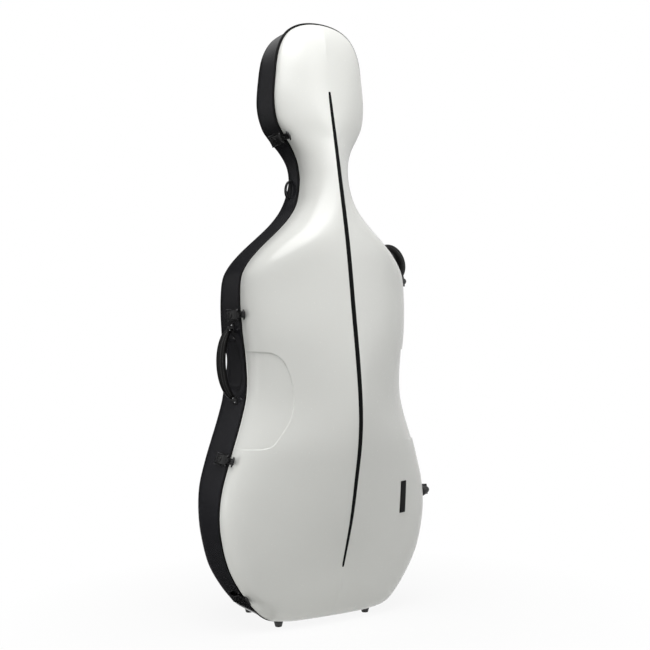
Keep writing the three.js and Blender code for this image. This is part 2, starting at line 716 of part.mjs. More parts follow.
// A latch lever turns on a pin in the plate's ears and its loop drops over the stud on the lid
function makeLatch(name, height) {
  const { matrix } = wallPlace(height, -1);
  const halfWidth = latchWidth / 2;
  const earNear = halfWidth + clearance;
  const earFar = earNear + latchEarThickness;
  const plateHalf = earFar + latchPlateMargin;
  const plateFar = latchPlateNear + latchPlateLength;
  const hole = rod(latchPinRadius + clearance, [-overrun, overrun], latchPivotLift, latchPivotDepth);

  const earTop = latchPivotLift + latchBarrelRadius;
  const earProfile = [[-overrun, latchPivotDepth - 2 * latchBarrelRadius],
    [latchPlateThickness, latchPivotDepth - 2 * latchBarrelRadius],
    [earTop, latchPivotDepth - latchBarrelRadius / 2], [earTop, latchPivotDepth + latchBarrelRadius / 2],
    [latchPlateThickness, plateFar - latchPlateMargin], [-overrun, plateFar - latchPlateMargin]];
  const ears = [[-earFar, -earNear], [earNear, earFar]].map((span) => prism(earProfile, span));
  const plate = join(
    block([-overrun, latchPlateThickness], [latchPlateNear, plateFar], [-plateHalf, plateHalf]), ...ears);
  add(`latch_plate_${name}`, cut(moved(cut(plate, hole), matrix), baseEnvelope), 'blackPlastic');
  const pin = rod(latchPinRadius, [-earFar, earFar], latchPivotLift, latchPivotDepth);
  add(`latch_pin_${name}`, moved(pin, matrix), 'steel');

  const noseUnder = latchNoseLift - latchThickness;
  const gripUnder = latchGripLift - latchThickness;
  const gripFar = latchPivotDepth - 2.6 * latchBarrelRadius;
  const gripNear = 3.4 * latchThickness;
  const profile = [[latchPivotLift + latchBarrelRadius, latchPivotDepth], [latchGripLift, gripFar],
    [latchGripLift, gripNear], [latchNoseLift, latchThickness], [noseUnder, latchThickness],
    [gripUnder, gripNear], [gripUnder, gripFar], [latchPivotLift - latchBarrelRadius, latchPivotDepth]];
  const barrel = rod(latchBarrelRadius, [-halfWidth, halfWidth], latchPivotLift, latchPivotDepth);
  const nose = block([noseUnder, latchNoseLift], [-latchNoseReach, 2 * latchThickness],
    around(0, latchNoseWidth));
  const tip = block([noseUnder, latchNoseLift], [-latchNoseReach - latchTipLength, -latchNoseReach],
    around(0, latchTipWidth));
  const loop = block([0, latchNoseLift + overrun],
    around(-studDepth, studLength + 2 * loopGap), around(0, studWidth + 2 * loopGap));
  const lever = cut(join(prism(profile, [-halfWidth, halfWidth]), barrel, nose, tip), hole, loop);
  add(`latch_lever_${name}`, moved(lever, matrix), 'blackPlastic');

  const near = studLength / 2 - studDepth;
  const far = -studLength / 2 - studDepth;
  const bevel = studLength / 4;
  const studProfile = [[-overrun, near], [studLift - bevel, near], [studLift, near - bevel],
    [studLift, far + bevel], [studLift - bevel, far], [-overrun, far]];
  const flange = block([-overrun, studFlangeThickness],
    around(-studDepth, studFlangeLength), around(0, studFlangeWidth));
  const stud = join(prism(studProfile, around(0, studWidth)), flange);
  add(`latch_stud_${name}`, cut(moved(stud, matrix), lidEnvelope), 'blackPlastic');
}

// A hinge: the base leaf holds the middle knuckle and the lid leaf the two outer ones
function makeHinge(name, height) {
  const { matrix } = hingePlace(height, hingeOffset);
  const half = hingeLength / 2;
  const third = hingeLength / 6;
  const wall = -hingeOffset;
  const leafFar = hingeLeafNear + hingeLeafReach;
  const hole = rod(hingePinRadius + clearance, [-overrun, overrun]);

  const baseSpan = [clearance - third, third - clearance];
  const baseArm = [[wall - overrun, hingeLeafNear], [wall / 2, hingeLeafNear],
    [0, -hingeKnuckleRadius / 2], [hingeKnuckleRadius / 2, hingeKnuckleRadius / 2],
    [wall / 2, leafFar / 2], [wall - overrun, leafFar / 2]];
  const baseLeaf = join(
    block([wall - overrun, wall + hingeLeafThickness], [hingeLeafNear, leafFar], [-half, half]),
    prism(baseArm, baseSpan), rod(hingeKnuckleRadius, baseSpan));
  add(`hinge_base_leaf_${name}`, cut(moved(cut(baseLeaf, hole), matrix), baseEnvelope), 'blackPlastic');

  const dome = [[wall - overrun, -hingeLeafNear], [-hingeKnuckleRadius, -hingeLeafNear],
    [hingeDomeLift - hingeDomeBevel, -hingeLeafNear - hingeDomeBevel], [hingeDomeLift, -leafFar / 2],
    [hingeDomeLift - hingeDomeLip, hingeDomeBevel - leafFar], [wall / 2, -leafFar - hingeDomeLip],
    [wall - overrun, -leafFar - hingeDomeLip]];
  const lidArm = [[-hingeKnuckleRadius, -hingeLeafNear - hingeDomeBevel / 2], [-hingeKnuckleRadius, 0],
    [0, hingeKnuckleRadius / 2], [hingeKnuckleRadius, 0],
    [hingeDomeLift - hingeDomeBevel, -hingeLeafNear - hingeDomeLip]];
  const spans = [[-half, -third], [third, half]];
  const lidLeaf = join(prism(dome, [-half, half]),
    ...spans.flatMap((span) => [prism(lidArm, span), rod(hingeKnuckleRadius, span)]));
  add(`hinge_lid_leaf_${name}`, cut(moved(cut(lidLeaf, hole), matrix), lidEnvelope), 'blackPlastic');
  add(`hinge_pin_${name}`, moved(rod(hingePinRadius, [-half, half]), matrix), 'steel');
}

// The frame of a handle lies on the chord between its two ends on the wall
function handlePlace({ side, low, high, depth }) {
  const [start, end] = [wallPlace(low, side).origin, wallPlace(high, side).origin];
  const chord = end.clone().sub(start).normalize();
  const origin = start.clone().add(end).multiplyScalar(1 / 2).setY(depth);
  const place = makePlace(origin, new THREE.Vector3(side * chord.z, 0, -side * chord.x));
  return { ...place, halfSpan: start.distanceTo(end) / 2 };
}

// A padded bar of oval section that swells from its ends to its middle
function gripBar(halfSpan, { lift, rise, fullness }) {
  const rings = [];
  for (let step = 0; step <= gripSteps; step += 1) {
    const angle = degrees(180) * step / gripSteps;
    const swell = mix(gripEndShare, 1, Math.sin(angle) ** gripSwellPower);
    const height = lift + rise * Math.sin(angle) ** fullness;
    const centre = new THREE.Vector3(height, 0, halfSpan * Math.cos(angle));
    const slope = new THREE.Vector3(halfSpan * Math.sin(angle), 0, rise * Math.cos(angle)).normalize();
    rings.push(Array.from({ length: roundSteps }, (_, k) => {
      const turn = degrees(360) * k / roundSteps;
      return centre.clone()
        .addScaledVector(slope, swell * gripThickness / 2 * Math.cos(turn))
        .add(new THREE.Vector3(0, swell * gripWidth / 2 * Math.sin(turn), 0));
    }));
  }
  return ringBody(rings);
}

// A closed body through rings of points, capped at both ends
function ringBody(rings) {
  const positions = [];
  const push = (...points) => points.forEach((p) => positions.push(p.x, p.y, p.z));
  const count = rings[0].length;
  for (let r = 1; r < rings.length; r += 1) {
    for (let k = 0; k < count; k += 1) {
      const next = (k + 1) % count;
      push(rings[r - 1][k], rings[r - 1][next], rings[r][next]);
      push(rings[r - 1][k], rings[r][next], rings[r][k]);
    }
  }
  for (let k = 1; k < count - 1; k += 1) {
    push(rings[0][0], rings[0][k + 1], rings[0][k]);
    push(rings.at(-1)[0], rings.at(-1)[k], rings.at(-1)[k + 1]);
  }
  return bodyFrom(positions);
}

// A carry handle turns on a stub at each end that sits in the ear of a bracket
function makeHandle(name, handle) {
  const place = handlePlace(handle);
  const { halfSpan } = place;
  const bossFar = halfSpan - clearance;
  const parts = [gripBar(bossFar - handleBossLength / 2, handle)];
  const halfWidth = handleBracketWidth / 2;
  const earTop = handle.lift + handleBossRadius;
  for (const sign of [-1, 1]) {
    const end = sign * place.along.z > 0 ? 'high' : 'low';
    const along = (from, to) => (sign > 0 ? [from, to] : [-to, -from]);
    parts.push(rod(handleBossRadius, along(bossFar - handleBossLength, bossFar), handle.lift));
    const pinSpan = along(bossFar - handleBossLength / 2, halfSpan + handleEarThickness);
    parts.push(rod(handlePinRadius, pinSpan, handle.lift));
    const earProfile = [[-overrun, -halfWidth], [0, -halfWidth], [earTop, -handleBossRadius / 2],
      [earTop, handleBossRadius / 2], [0, halfWidth], [-overrun, halfWidth]];
    const ear = cut(prism(earProfile, along(halfSpan, halfSpan + handleEarThickness)),
      rod(handlePinRadius + clearance, along(0, halfSpan + overrun), handle.lift));
    const foot = block([-overrun, handleFootThickness], around(handle.depth, handleFootWidth),
      sign * handle.side > 0 ? [-handleFootReach, handleFootLap] : [-handleFootLap, handleFootReach]);
    const footPlace = wallPlace(handle[end], handle.side);
    const bracket = join(moved(ear, place.matrix), moved(foot, footPlace.matrix));
    add(`${name}_bracket_${end}`, cut(bracket, baseEnvelope), 'blackPlastic');
  }
  add(`${name}_grip`, moved(join(...parts), place.matrix), 'grip');
}

// A strap eye: a half-round loop with a slot, standing on a skin
function eyeProfile(shrink) {
  const steps = roundSteps / 2;
  return Array.from({ length: steps + 1 }, (_, k) => {
    const turn = degrees(180) * k / steps - degrees(90);
    return [(eyeLift - shrink) * Math.cos(turn), (eyeLength / 2 - shrink) * Math.sin(turn)];
  });
}

function makeEye(name, matrix) {
  const outer = [[-overrun, -eyeLength / 2], ...eyeProfile(0), [-overrun, eyeLength / 2]];
  const slot = eyeProfile(eyeWall).map(([x, y]) => [x + eyeWall / 3, y]);
  const eye = cut(prism(outer, around(0, eyeThickness)), prism(slot, around(0, 2 * eyeThickness)));
  add(name, cut(moved(eye, matrix), baseEnvelope), 'blackPlastic');
}

// Neck eyes stand on the side walls, back eyes on the back with their length upright
function makeEyes() {
  for (const [name, side] of [['left', -1], ['right', 1]]) {
    const wall = wallPlace(neckEyeHeight, side);
    const place = new THREE.Matrix4()
      .makeBasis(wall.out, wall.along, wall.back.clone().negate())
      .setPosition(wall.origin.setY(neckEyeDepth));
    makeEye(`strap_eye_neck_${name}`, place);
    const depth = surfaceDepth(basePoint, baseSquareness, backEyeX, backEyeHeight, 0);
    makeEye(`strap_eye_back_${name}`, new THREE.Matrix4()
      .makeBasis(unitY, unitZ, unitX)
      .setPosition(side * backEyeX, depth, backEyeHeight));
  }
}

// Y of a lid or base surface at a point of the middle stretch of the case
function surfaceDepth(pointAt, squareness, x, z, inset) {
  const share = Math.min(x / (wallPlace(z, 1).origin.x - inset), 1);
  const angle = Math.acos(share ** (squareness / 2));
  return pointAt({ x: 0, z, outX: 0, outZ: 0, spine: z }, inset, angle).y;
}

// Pads on the lining: a thick layer of it cut out by a box
function makePads() {
  const layer = cut(baseRoom, baseInside(roomInset + clearance + padThickness));
  const pad = (name, xs, ys, zs) => add(name, common(layer, block(xs, ys, zs)), 'cushion');
  const wide = lowerBoutWidth / 2;
  const corner = [padNear, cornerPadFar];
  const back = [backPadFar, 2 * baseDepth];
  for (const [name, mirror] of [['left', ([a, b]) => [-b, -a]], ['right', (span) => span]]) {
    pad(`shoulder_pad_${name}`, mirror([shoulderPadX, wide]), corner, [shoulderPadBottom, shoulderPadTop]);
    pad(`lower_pad_${name}`, mirror([lowerPadX, wide]), corner, [lowerPadBottom, lowerPadTop]);
  }
  pad('end_pad', around(0, endPadWidth), corner, [0, endPadTop]);
  pad('upper_rest', around(0, upperRestWidth), back, around(upperRestHeight, restLength));
  pad('lower_rest', around(0, lowerRestWidth), back, around(lowerRestHeight, restLength));
}

// The cradle for the cello's neck, with a webbing strap across it
function makeCradle() {
  const notchHalf = cradleNotchWidth / 2;
  const notchBottom = cradleNear + cradleNotchDepth;
  const rounding = notchHalf / 2;
  const cradleSpan = [cradleBottom, cradleTop];
  const notch = prism([[-notchHalf, -overrun], [notchHalf, -overrun], [notchHalf, notchBottom - rounding],
    [rounding, notchBottom], [-rounding, notchBottom], [-notchHalf, notchBottom - rounding]],
  [0, 2 * caseHeight]);
  const body = common(block(around(0, neckWidth), [cradleNear, baseDepth], cradleSpan), baseRoom);
  add('neck_cradle', cut(body, notch), 'cushion');

  const under = cradleNear - clearance;
  const side = (sign) => strapShares.map(([out, up]) => [sign * notchHalf * out, under - strapRise * up]);
  const lower = [...side(1), ...side(-1).reverse()];
  const widen = 1 + strapThickness / cradleNotchWidth;
  const upper = lower.map(([x, y]) => [x * widen, y - strapThickness]).reverse();
  const span = around((cradleBottom + cradleTop) / 2, strapWidth);
  add('neck_strap', prism([...lower, ...upper], span), 'webbing');
}

// Bow holders in the lid: a grooved block with a turning clip at the frog, a grooved block at the tip
function bowBlock(x, z, { sizeX, sizeZ, groove }) {
  const floor = surfaceDepth(lidPoint, lidSquareness, Math.abs(x), z, roomInset + clearance);
  const top = floor + bowBlockDepth;
  const body = block(around(x, sizeX), [floor - overrun, top], around(z, sizeZ));
  const channel = block(around(x, groove), [top - bowGrooveDepth, top + overrun], around(z, 2 * sizeZ));
  return { top, solid: cut(common(body, lidRoom), channel) };
}

function makeBowHolders() {
  for (const [name, side] of [['left', -1], ['right', 1]]) {
    add(`bow_tip_holder_${name}`, bowBlock(side * tipX, tipHeight, tipBlock).solid, 'cushion');
    const { top, solid } = bowBlock(side * frogX, frogHeight, frogBlock);
    const postX = side * (frogX + (frogBlock.sizeX + frogBlock.groove) / 4);
    const post = (radius, [near, far]) => moved(rod(radius, [-far, -near], postX, frogHeight), alongY);
    const bore = post(clipPostRadius + clearance, [top - clipPostLength - clearance, top + overrun]);
    add(`bow_frog_holder_${name}`, cut(solid, bore), 'cushion');
    const under = top + clearance;
    const ends = [postX + side * clipWidth / 2, postX + side * (clipWidth / 2 - clipLength)];
    const arm = block([Math.min(...ends), Math.max(...ends)], [under, under + clipThickness],
      around(frogHeight, clipWidth));
    const pivot = post(clipPostRadius, [top - clipPostLength, under + clipThickness / 2]);
    add(`bow_clip_${name}`, join(arm, pivot), 'blackPlastic');
  }
}

makeLidShell();
makeBaseShell();
makeLinings();
makeRim();
makeStripe();
makePlate();
makeFeet();
Object.entries(latchHeights).forEach(([name, height]) => makeLatch(name, height));
Object.entries(hingeHeights).forEach(([name, height]) => makeHinge(name, height));
makeHandle('waist_handle', waistHandle);
makeHandle('shoulder_handle', shoulderHandle);
makeEyes();
makePads();
makeCradle();
makeBowHolders();

// The origin goes under the middle of the whole case
const bounds = new THREE.Box3().setFromObject(caseModel);
const centre = bounds.getCenter(new THREE.Vector3());
caseModel.position.set(-centre.x, -centre.y, -bounds.min.z);

export default caseModel;
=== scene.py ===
"""A gloss hard case for a cello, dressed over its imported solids.

Shapes are worked out in the case's own frame, in millimetres: X across the case with the hinges on
the +X side, Y zero in the plane where lid and base meet and negative on the lid, Z up from the floor.
"""

import json
import math

import bmesh
import bpy
import numpy as np
from bpy.props import FloatProperty, FloatVectorProperty, IntProperty, PointerProperty
from mathutils import Matrix, Vector
from mathutils.bvhtree import BVHTree


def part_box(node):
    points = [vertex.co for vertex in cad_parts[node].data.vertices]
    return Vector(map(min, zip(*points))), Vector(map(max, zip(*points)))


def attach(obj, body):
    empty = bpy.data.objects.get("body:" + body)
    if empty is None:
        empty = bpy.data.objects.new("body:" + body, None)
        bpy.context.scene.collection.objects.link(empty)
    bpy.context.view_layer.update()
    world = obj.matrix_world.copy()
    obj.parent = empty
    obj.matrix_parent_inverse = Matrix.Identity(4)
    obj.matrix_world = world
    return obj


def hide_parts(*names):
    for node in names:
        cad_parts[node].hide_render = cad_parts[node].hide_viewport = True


bl_info = {
    "name": "Cello hard case",
    "version": (1, 0, 0),
    "blender": (4, 5, 0),
    "location": "3D View > Sidebar > Cello case",
    "description": "Builds a gloss cello case with its latches, hinges, handles and padded inside",
    "category": "Add Mesh",
}

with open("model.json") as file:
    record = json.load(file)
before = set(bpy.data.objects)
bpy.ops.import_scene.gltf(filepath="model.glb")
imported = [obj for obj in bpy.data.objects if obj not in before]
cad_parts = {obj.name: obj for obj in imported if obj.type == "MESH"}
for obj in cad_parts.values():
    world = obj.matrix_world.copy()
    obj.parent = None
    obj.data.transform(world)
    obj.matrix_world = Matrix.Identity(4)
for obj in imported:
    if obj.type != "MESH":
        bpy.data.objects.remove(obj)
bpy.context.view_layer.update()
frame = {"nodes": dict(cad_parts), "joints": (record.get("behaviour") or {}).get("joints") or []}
JOINTS = {joint["name"]: joint for joint in frame["joints"]}

# The case's own frame, and the metres that a millimetre is
MM = 0.001
RIM_LOW, RIM_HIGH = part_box("rim_frame")
ORIGIN = Vector(((RIM_LOW.x + RIM_HIGH.x) / 2, (RIM_LOW.y + RIM_HIGH.y) / 2, 0))

BACK = Vector((0, 1, 0))

# Corners are merged where they agree when a millimetre is cut in this many steps
MERGE_STEPS = 1000
# A ring on an axis keeps this radius, so that it doesn't shrink to a point
AXIS_RADIUS = 0.01

# Outline of the case
CASE_HEIGHT = 1330
STAND_HEIGHT = 12
WIDTHS = {"bottom": 0, "lower_bout": 514, "waist": 377, "upper_bout": 405, "neck": 106, "head": 227, "top": 0}
HEIGHTS = {"bottom": STAND_HEIGHT, "lower_bout": 257, "waist": 542, "upper_bout": 718, "neck": 972,
           "head": 1150, "top": CASE_HEIGHT}
# From each of those places to the next: share of the rise, then share of the change in width
OUTLINE_SHARES = [
    [(0.002, 0.22), (0.012, 0.41), (0.054, 0.585), (0.194, 0.728), (0.5, 0.911), (0.79, 0.986)],
    [(0.175, 0.095), (0.35, 0.31), (0.7, 0.79), (0.853, 0.953)],
    [(0.29, 0.21), (0.585, 0.66)],
    [(0.185, 0.028), (0.283, 0.115), (0.391, 0.273), (0.677, 0.788), (0.821, 0.943)],
    [(0.146, 0.018), (0.292, 0.115), (0.438, 0.32), (0.624, 0.684), (0.764, 0.895)],
    [(0.306, 0.031), (0.656, 0.127), (0.839, 0.285), (0.928, 0.466), (0.981, 0.7)],
]

# Depths of lid and base: share of the case height, then share of the depth or of its steep part
LID_DEPTH = 160
BASE_DEPTH = 182
RIDGE_SHARES = [(0.09, 0.45), (0.18, 0.72), (0.256, 0.88), (0.301, 0.965), (0.353, 1), (0.421, 0.96),
                (0.519, 0.85), (0.624, 0.73), (0.752, 0.53), (0.88, 0.3), (0.95, 0.225)]
BACK_SHARES = [(0.075, 0.96), (0.19, 1), (0.36, 0.967), (0.54, 0.835), (0.645, 0.69), (0.7, 0.55),
               (0.735, 0.42), (0.775, 0.4), (0.805, 0.48), (0.865, 0.68), (0.925, 0.66), (0.95, 0.63)]
FLANK_SHARES = [(0.09, 0.46), (0.18, 0.42), (0.25, 0.4), (0.3, 0.42), (0.353, 0.37), (0.41, 0.45),
                (0.48, 0.54), (0.57, 0.55), (0.63, 0.8), (0.68, 0.74), (0.72, 0.64), (0.76, 0.58),
                (0.8, 0.46), (0.84, 0.32), (0.9, 0.38), (0.95, 0.5)]
WALL_SHARES = [(0.075, 0.14), (0.15, 0.34), (0.25, 0.51), (0.36, 0.5), (0.54, 0.48), (0.645, 0.5),
               (0.73, 0.3), (0.8, 0.48), (0.865, 0.5), (0.95, 0.38)]
LID_SQUARENESS = 3.4
BASE_SQUARENESS = 3.2
BOTTOM_SQUARENESS = 5
RIDGE_SOFTNESS = 0.06
HEAD_SOFTNESS = 0.9
HEAD_FADE_START, HEAD_FADE = 110, 130
FOOT_SOFTNESS = 0.22
FOOT_FADE_START, FOOT_FADE = 40, 60
SPINE_BOTTOM = 110
SPINE_TOP = 1255
DEPTH_BLUR = 14
SPINE_BLUR = 16
SPACING_BLUR = 30
# How far the table of spine heights is mirrored past its ends, so that the spine's own ends stay put
SPINE_MIRROR = 200
LEVEL_FADE = 1.4
LOW_LEVEL_FADE = 3

# Walls, linings and the rim between the shells
SHELL_THICKNESS = 4
LINING_THICKNESS = 8
CLEARANCE = 0.3
RIM_HALF = 2
RIM_CORNER = 0.7
RIM_CORNER_ROUND = (0.2, 0.25)
SEAL_LIP = 1.9
SEAL_WIDTH, SEAL_HEIGHT = 1.2, 1.0
HEAD_LIP = 4.8
HEAD_LIP_RISE = 120
TRIM_DEPTH = 9
TONGUE_THICKNESS = 3.6
TONGUE_HEIGHT = 6
LINING_SETBACK = 4
LINING_INSET = SHELL_THICKNESS + CLEARANCE
LINING_START = RIM_HALF + TONGUE_HEIGHT + LINING_SETBACK
# Both faces of a lining: inset, how much later the first row starts, and the slope of the hand dent
LINING_FACES = [(LINING_INSET, 1.5, 12), (LINING_INSET + LINING_THICKNESS, 0.8, 14)]
# Rounded edges: share of the way from the inner face to the outer one, then lift off the rim
LID_EDGE = [(0, 0.8), (0.04, 0.35), (0.14, 0.05), (0.62, 0.05), (0.84, 0.25), (0.96, 0.8), (1, 1.6)]
BASE_EDGE = [(0.04, 0.35), (0.14, 0.05), (0.85, 0.05), (0.9625, 0.35)]
BASE_EDGE_LIFT = 0.8
LINING_EDGE = [(0.12, 0.75), (0.3, 1.3), (0.5, 1.5), (0.7, 1.3), (0.88, 0.75)]

# Rows of the shells and linings lie closer together over these heights
FINE_SPAN = (385, 652)
LINING_FINE_SPAN = (500, 650)
LINING_COARSENESS = 1.6

# Shallow grip hollows beside the waist of the lid
GRIP_DEPTH = 2.8
GRIP_RIM_SHARE = 0.45
GRIP_RIM_FADE = 30
GRIP_MARGIN = 15
CREASE_ROUND = 0.4
# Only corners whose way out of the skin points forwards or aside take part in a hollow
GRIP_FACING_BACK, GRIP_FACING_ASIDE = 0.4, 0.3
GRIP_BOTTOM = 396
GRIP_TOP = 603
GRIP_INNER = 124
GRIP_SHARES = [(0.38, 0.985), (0.66, 0.92), (0.9, 0.745), (1, 0.56), (0.985, 0.42), (0.88, 0.3),
               (0.55, 0.13), (0.3, 0.03), (0, 0)]

# Hand dents at the waist of the base, and how far past their line they reach
HAND_DEPTH = 9
HAND_BOTTOM = 517
HAND_TOP = 637
HAND_NEAR = 25
HAND_FAR = 140
HAND_SHARES = [(0, 0.24), (0, 0.48), (0.07, 0.75), (0.16, 0.96), (0.4, 1), (0.78, 0.94), (1, 0.7),
               (1, 0.3), (0.8, 0.04), (0.45, 0), (0.13, 0.04)]
HAND_MARGIN = 1.5
HAND_SLOPE = 12
HAND_LINING_MARGIN = 3

# Stripe and bare plate on the lid. The stripe's section has shares of its half width, then lifts
STRIPE_BOTTOM = 133
STRIPE_TOP = 1172
STRIPE_WIDTH = 10.6
STRIPE_LEAST_SHARE = 0.03
STRIPE_SHARES = [(0, 0.34), (0.012, 0.5), (0.06, 0.62), (0.2, 0.86), (0.45, 1), (0.75, 0.94), (0.96, 0.7),
                 (0.994, 0.56), (1, 0.34)]
STRIPE_SECTION = [(-1, -0.5), (-1, 0.35), (-0.86, 0.55), (-0.45, 0.62), (0, 0.64), (0.45, 0.62),
                  (0.86, 0.55), (1, 0.35), (1, -0.5)]
PLATE = {"x": 160, "z": 271, "width": 19, "height": 72, "corner": 1.5, "step": 5}
# Insets and lifts up the plate's edge, then shares of its size across its flat top
PLATE_EDGE = [(0, -1.5), (0, 0.9), (0.15, 1.15), (0.5, 1.3)]
PLATE_TOP = [0.75, 0.5, 0.25, 0.02]

# What is screwed to a wall: how far its plate is sunk and stands out, and the seat of a screw's head
MOUNT_SPAN = (-3, 2.4)
SCREW_SEAT = 0.05

# Latches. Outlines are in the latch's own frame: out of the wall, then back from the rim
LATCHES = ("bottom", "lower", "upper", "neck")
LATCH_PIVOT_LIFT = 7.5
LATCH_PIVOT_DEPTH = 48
LATCH_HALF = 10
LATCH_EAR = 2.6
LATCH_EAR_NEAR = LATCH_HALF + CLEARANCE
LATCH_EAR_FAR = LATCH_EAR_NEAR + LATCH_EAR
LATCH_BARREL = 4.6
LATCH_TOP = LATCH_PIVOT_LIFT + LATCH_BARREL
LATCH_PIN = 1.6
LATCH_PIN_HEAD = 2.3
LATCH_PIN_HEIGHT = 0.7
LATCH_PIN_OVERLAP = 0.1
PLATE_NEAR = 7
PLATE_FAR = PLATE_NEAR + 50
LATCH_SCREWS = {"radius": 2.4, "back": PLATE_NEAR + 4.5, "aside": 9.6}
LATCH_CHEEK = [(0, LATCH_PIVOT_DEPTH - 13), (2.4, LATCH_PIVOT_DEPTH - 12),
               (LATCH_TOP - 1, LATCH_PIVOT_DEPTH - 5.5), (LATCH_TOP + 0.6, LATCH_PIVOT_DEPTH),
               (LATCH_TOP - 1, LATCH_PIVOT_DEPTH + 5.5), (2.4, PLATE_FAR - 2), (0, PLATE_FAR - 1)]
LATCH_BRIDGE = [(0, PLATE_FAR - 4.5), (3.4, PLATE_FAR - 4.5), (4.4, PLATE_FAR - 2.6), (3.2, PLATE_FAR - 1),
                (0, PLATE_FAR - 1)]
LATCH_ARM = [(LATCH_TOP, LATCH_PIVOT_DEPTH - 1), (14.6, LATCH_PIVOT_DEPTH - 12), (14.8, LATCH_PIVOT_DEPTH - 20),
             (13.8, 20), (11.2, 10), (7.5, 4), (3.5, 4), (6, 12), (10.2, 18), (10.6, LATCH_PIVOT_DEPTH - 13),
             (LATCH_PIVOT_LIFT - 4, LATCH_PIVOT_DEPTH - 2)]
LATCH_HOOD = [(LATCH_PIVOT_LIFT + 5, LATCH_PIVOT_DEPTH - 1.5), (15.4, LATCH_PIVOT_DEPTH - 11),
              (15.4, LATCH_PIVOT_DEPTH - 15), (11, LATCH_PIVOT_DEPTH - 15), (8, LATCH_PIVOT_DEPTH - 6)]
LATCH_HOOD_HALF = LATCH_HALF - 1.2
LATCH_RIDGE = {"lift": 14.6, "sag": 0.64, "back": 23.5, "reach": 6.5, "half": 6.2, "radius": 0.75}
LATCH_TIP = {"lift": 5.5, "back": -29.4, "curl": 3.2, "half": 11, "width": 2.1, "depth": 1.75, "end": 0.55}
# The lever's slot, which takes the hook of the stud: its loop's outer and inner lines, and its edges
NOSE_SPAN = (3.6, 7.4)
NOSE_OUTER = (-27.5, 9, -6.5, 6.5)
NOSE_INNER = (-15.3, -5.7, -4.1, 4.1)
NOSE_EDGE = [(0, 0.4), (0.12, 0.12), (0.4, 0)]
STUD_DEPTH = 10.5
STUD_LIFT = 10
STUD_HALF = 2.8
STUD_FLANGE = {"lift": 1.4, "back": 5.5, "half": 6}
STUD_NEAR, STUD_FAR = 3.5 - STUD_DEPTH, -3.5 - STUD_DEPTH
STUD_HOOK = [(-2, STUD_NEAR), (STUD_LIFT - 2, STUD_NEAR), (STUD_LIFT, STUD_NEAR - 2),
             (STUD_LIFT, STUD_FAR - 0.6), (STUD_LIFT - 1.8, STUD_FAR - 0.6), (STUD_LIFT - 2.2, STUD_FAR),
             (-2, STUD_FAR)]

# Hinges. Outlines are in the hinge's own frame, round its pin
HINGE_OFFSET = 11
HINGE_LENGTH = 24
HINGE_KNUCKLE = 5.5
HINGE_PIN = 2
HINGE_PIN_HEAD = 2.9
HINGE_PIN_HEIGHT = 0.9
HINGE_NEAR = 5
HINGE_FAR = HINGE_NEAR + 14
HINGE_DOME = 13
HINGE_DOME_SHARE = 0.97
# The dome shrinks towards this place on the lid at its ends, and less so along the lid
HINGE_DOME_ROOT = (-HINGE_OFFSET - 5, -HINGE_NEAR - 7)
HINGE_DOME_LENGTH_SHARE = 0.55
HINGE_SCREWS = {"radius": 2.1, "lift": 2.5 - HINGE_OFFSET, "back": HINGE_FAR - 4, "aside": 8}
HINGE_BASE_ARM = [(-HINGE_OFFSET - 4, 5), (-HINGE_OFFSET / 2, 5), (0, -2.7), (2.7, 2.7),
                  (-HINGE_OFFSET / 2, HINGE_FAR / 2), (-HINGE_OFFSET - 4, HINGE_FAR / 2)]
HINGE_DOME_LINE = [(-HINGE_OFFSET - 5, -HINGE_NEAR), (-HINGE_KNUCKLE, -HINGE_NEAR),
                   (HINGE_DOME - 2, -HINGE_NEAR - 2), (HINGE_DOME + 0.8, -HINGE_FAR / 2),
                   (HINGE_DOME - 3, 2 - HINGE_FAR), (-HINGE_OFFSET / 2, -HINGE_FAR - 3),
                   (-HINGE_OFFSET - 5, -HINGE_FAR - 3)]
HINGE_LID_ARM = [(-HINGE_KNUCKLE, -HINGE_NEAR - 1), (-HINGE_KNUCKLE, 0), (0, HINGE_KNUCKLE / 2),
                 (HINGE_KNUCKLE, 0), (HINGE_DOME - 2, -HINGE_NEAR - 3)]

# Handles
HANDLES = {
    "waist_handle": {"side": -1, "low": 500, "high": 652, "depth": 45, "lift": 9, "rise": 23,
                     "fullness": 1.3},
    "shoulder_handle": {"side": 1, "low": 745, "high": 826, "depth": 30, "lift": 13, "rise": 51,
                        "fullness": 0.65},
}
HANDLE_PIN = 2.6
HANDLE_BOSS = 5.2
HANDLE_BOSS_LENGTH = 9
HANDLE_COLLAR = 0.5
HANDLE_COLLAR_SPAN = (3.2, 0.6)
HANDLE_EAR = 6
HANDLE_FOOT = 13
HANDLE_LAP = 5
HANDLE_SCREW = 2.6
HANDLE_SCREW_PLACE = HANDLE_FOOT - 5
BRACKET_HALF = 8
GRIP_THICKNESS = 19
GRIP_WIDTH = 22
GRIP_END_SHARE = 0.45
GRIP_SWELL_POWER = 0.6
GRIP_OVAL_POWER = 0.8
# Sewn seams and plain grooves, as turns round the grip in degrees
SEAM_TURNS = (53, 86, 274, 307)
GROOVE_TURNS = (*SEAM_TURNS, 138, 222)
GROOVE_DEPTH = 0.06
GROOVE_TURN = 6
SEAM_SHARE = 0.945
SEAM_START = 0.35
THREAD_RADIUS = 0.00045

# Strap eyes
EYE_LENGTH = 43
EYE_LIFT = 12.5
EYE_HALF = 4.3
EYE_WALL = 4.5
EYE_ROOT = 3
EYE_EDGE = [(0, 0.9), (0.25, 0.25), (0.9, 0)]
NECK_EYE_HEIGHT = 963
NECK_EYE_DEPTH = 40

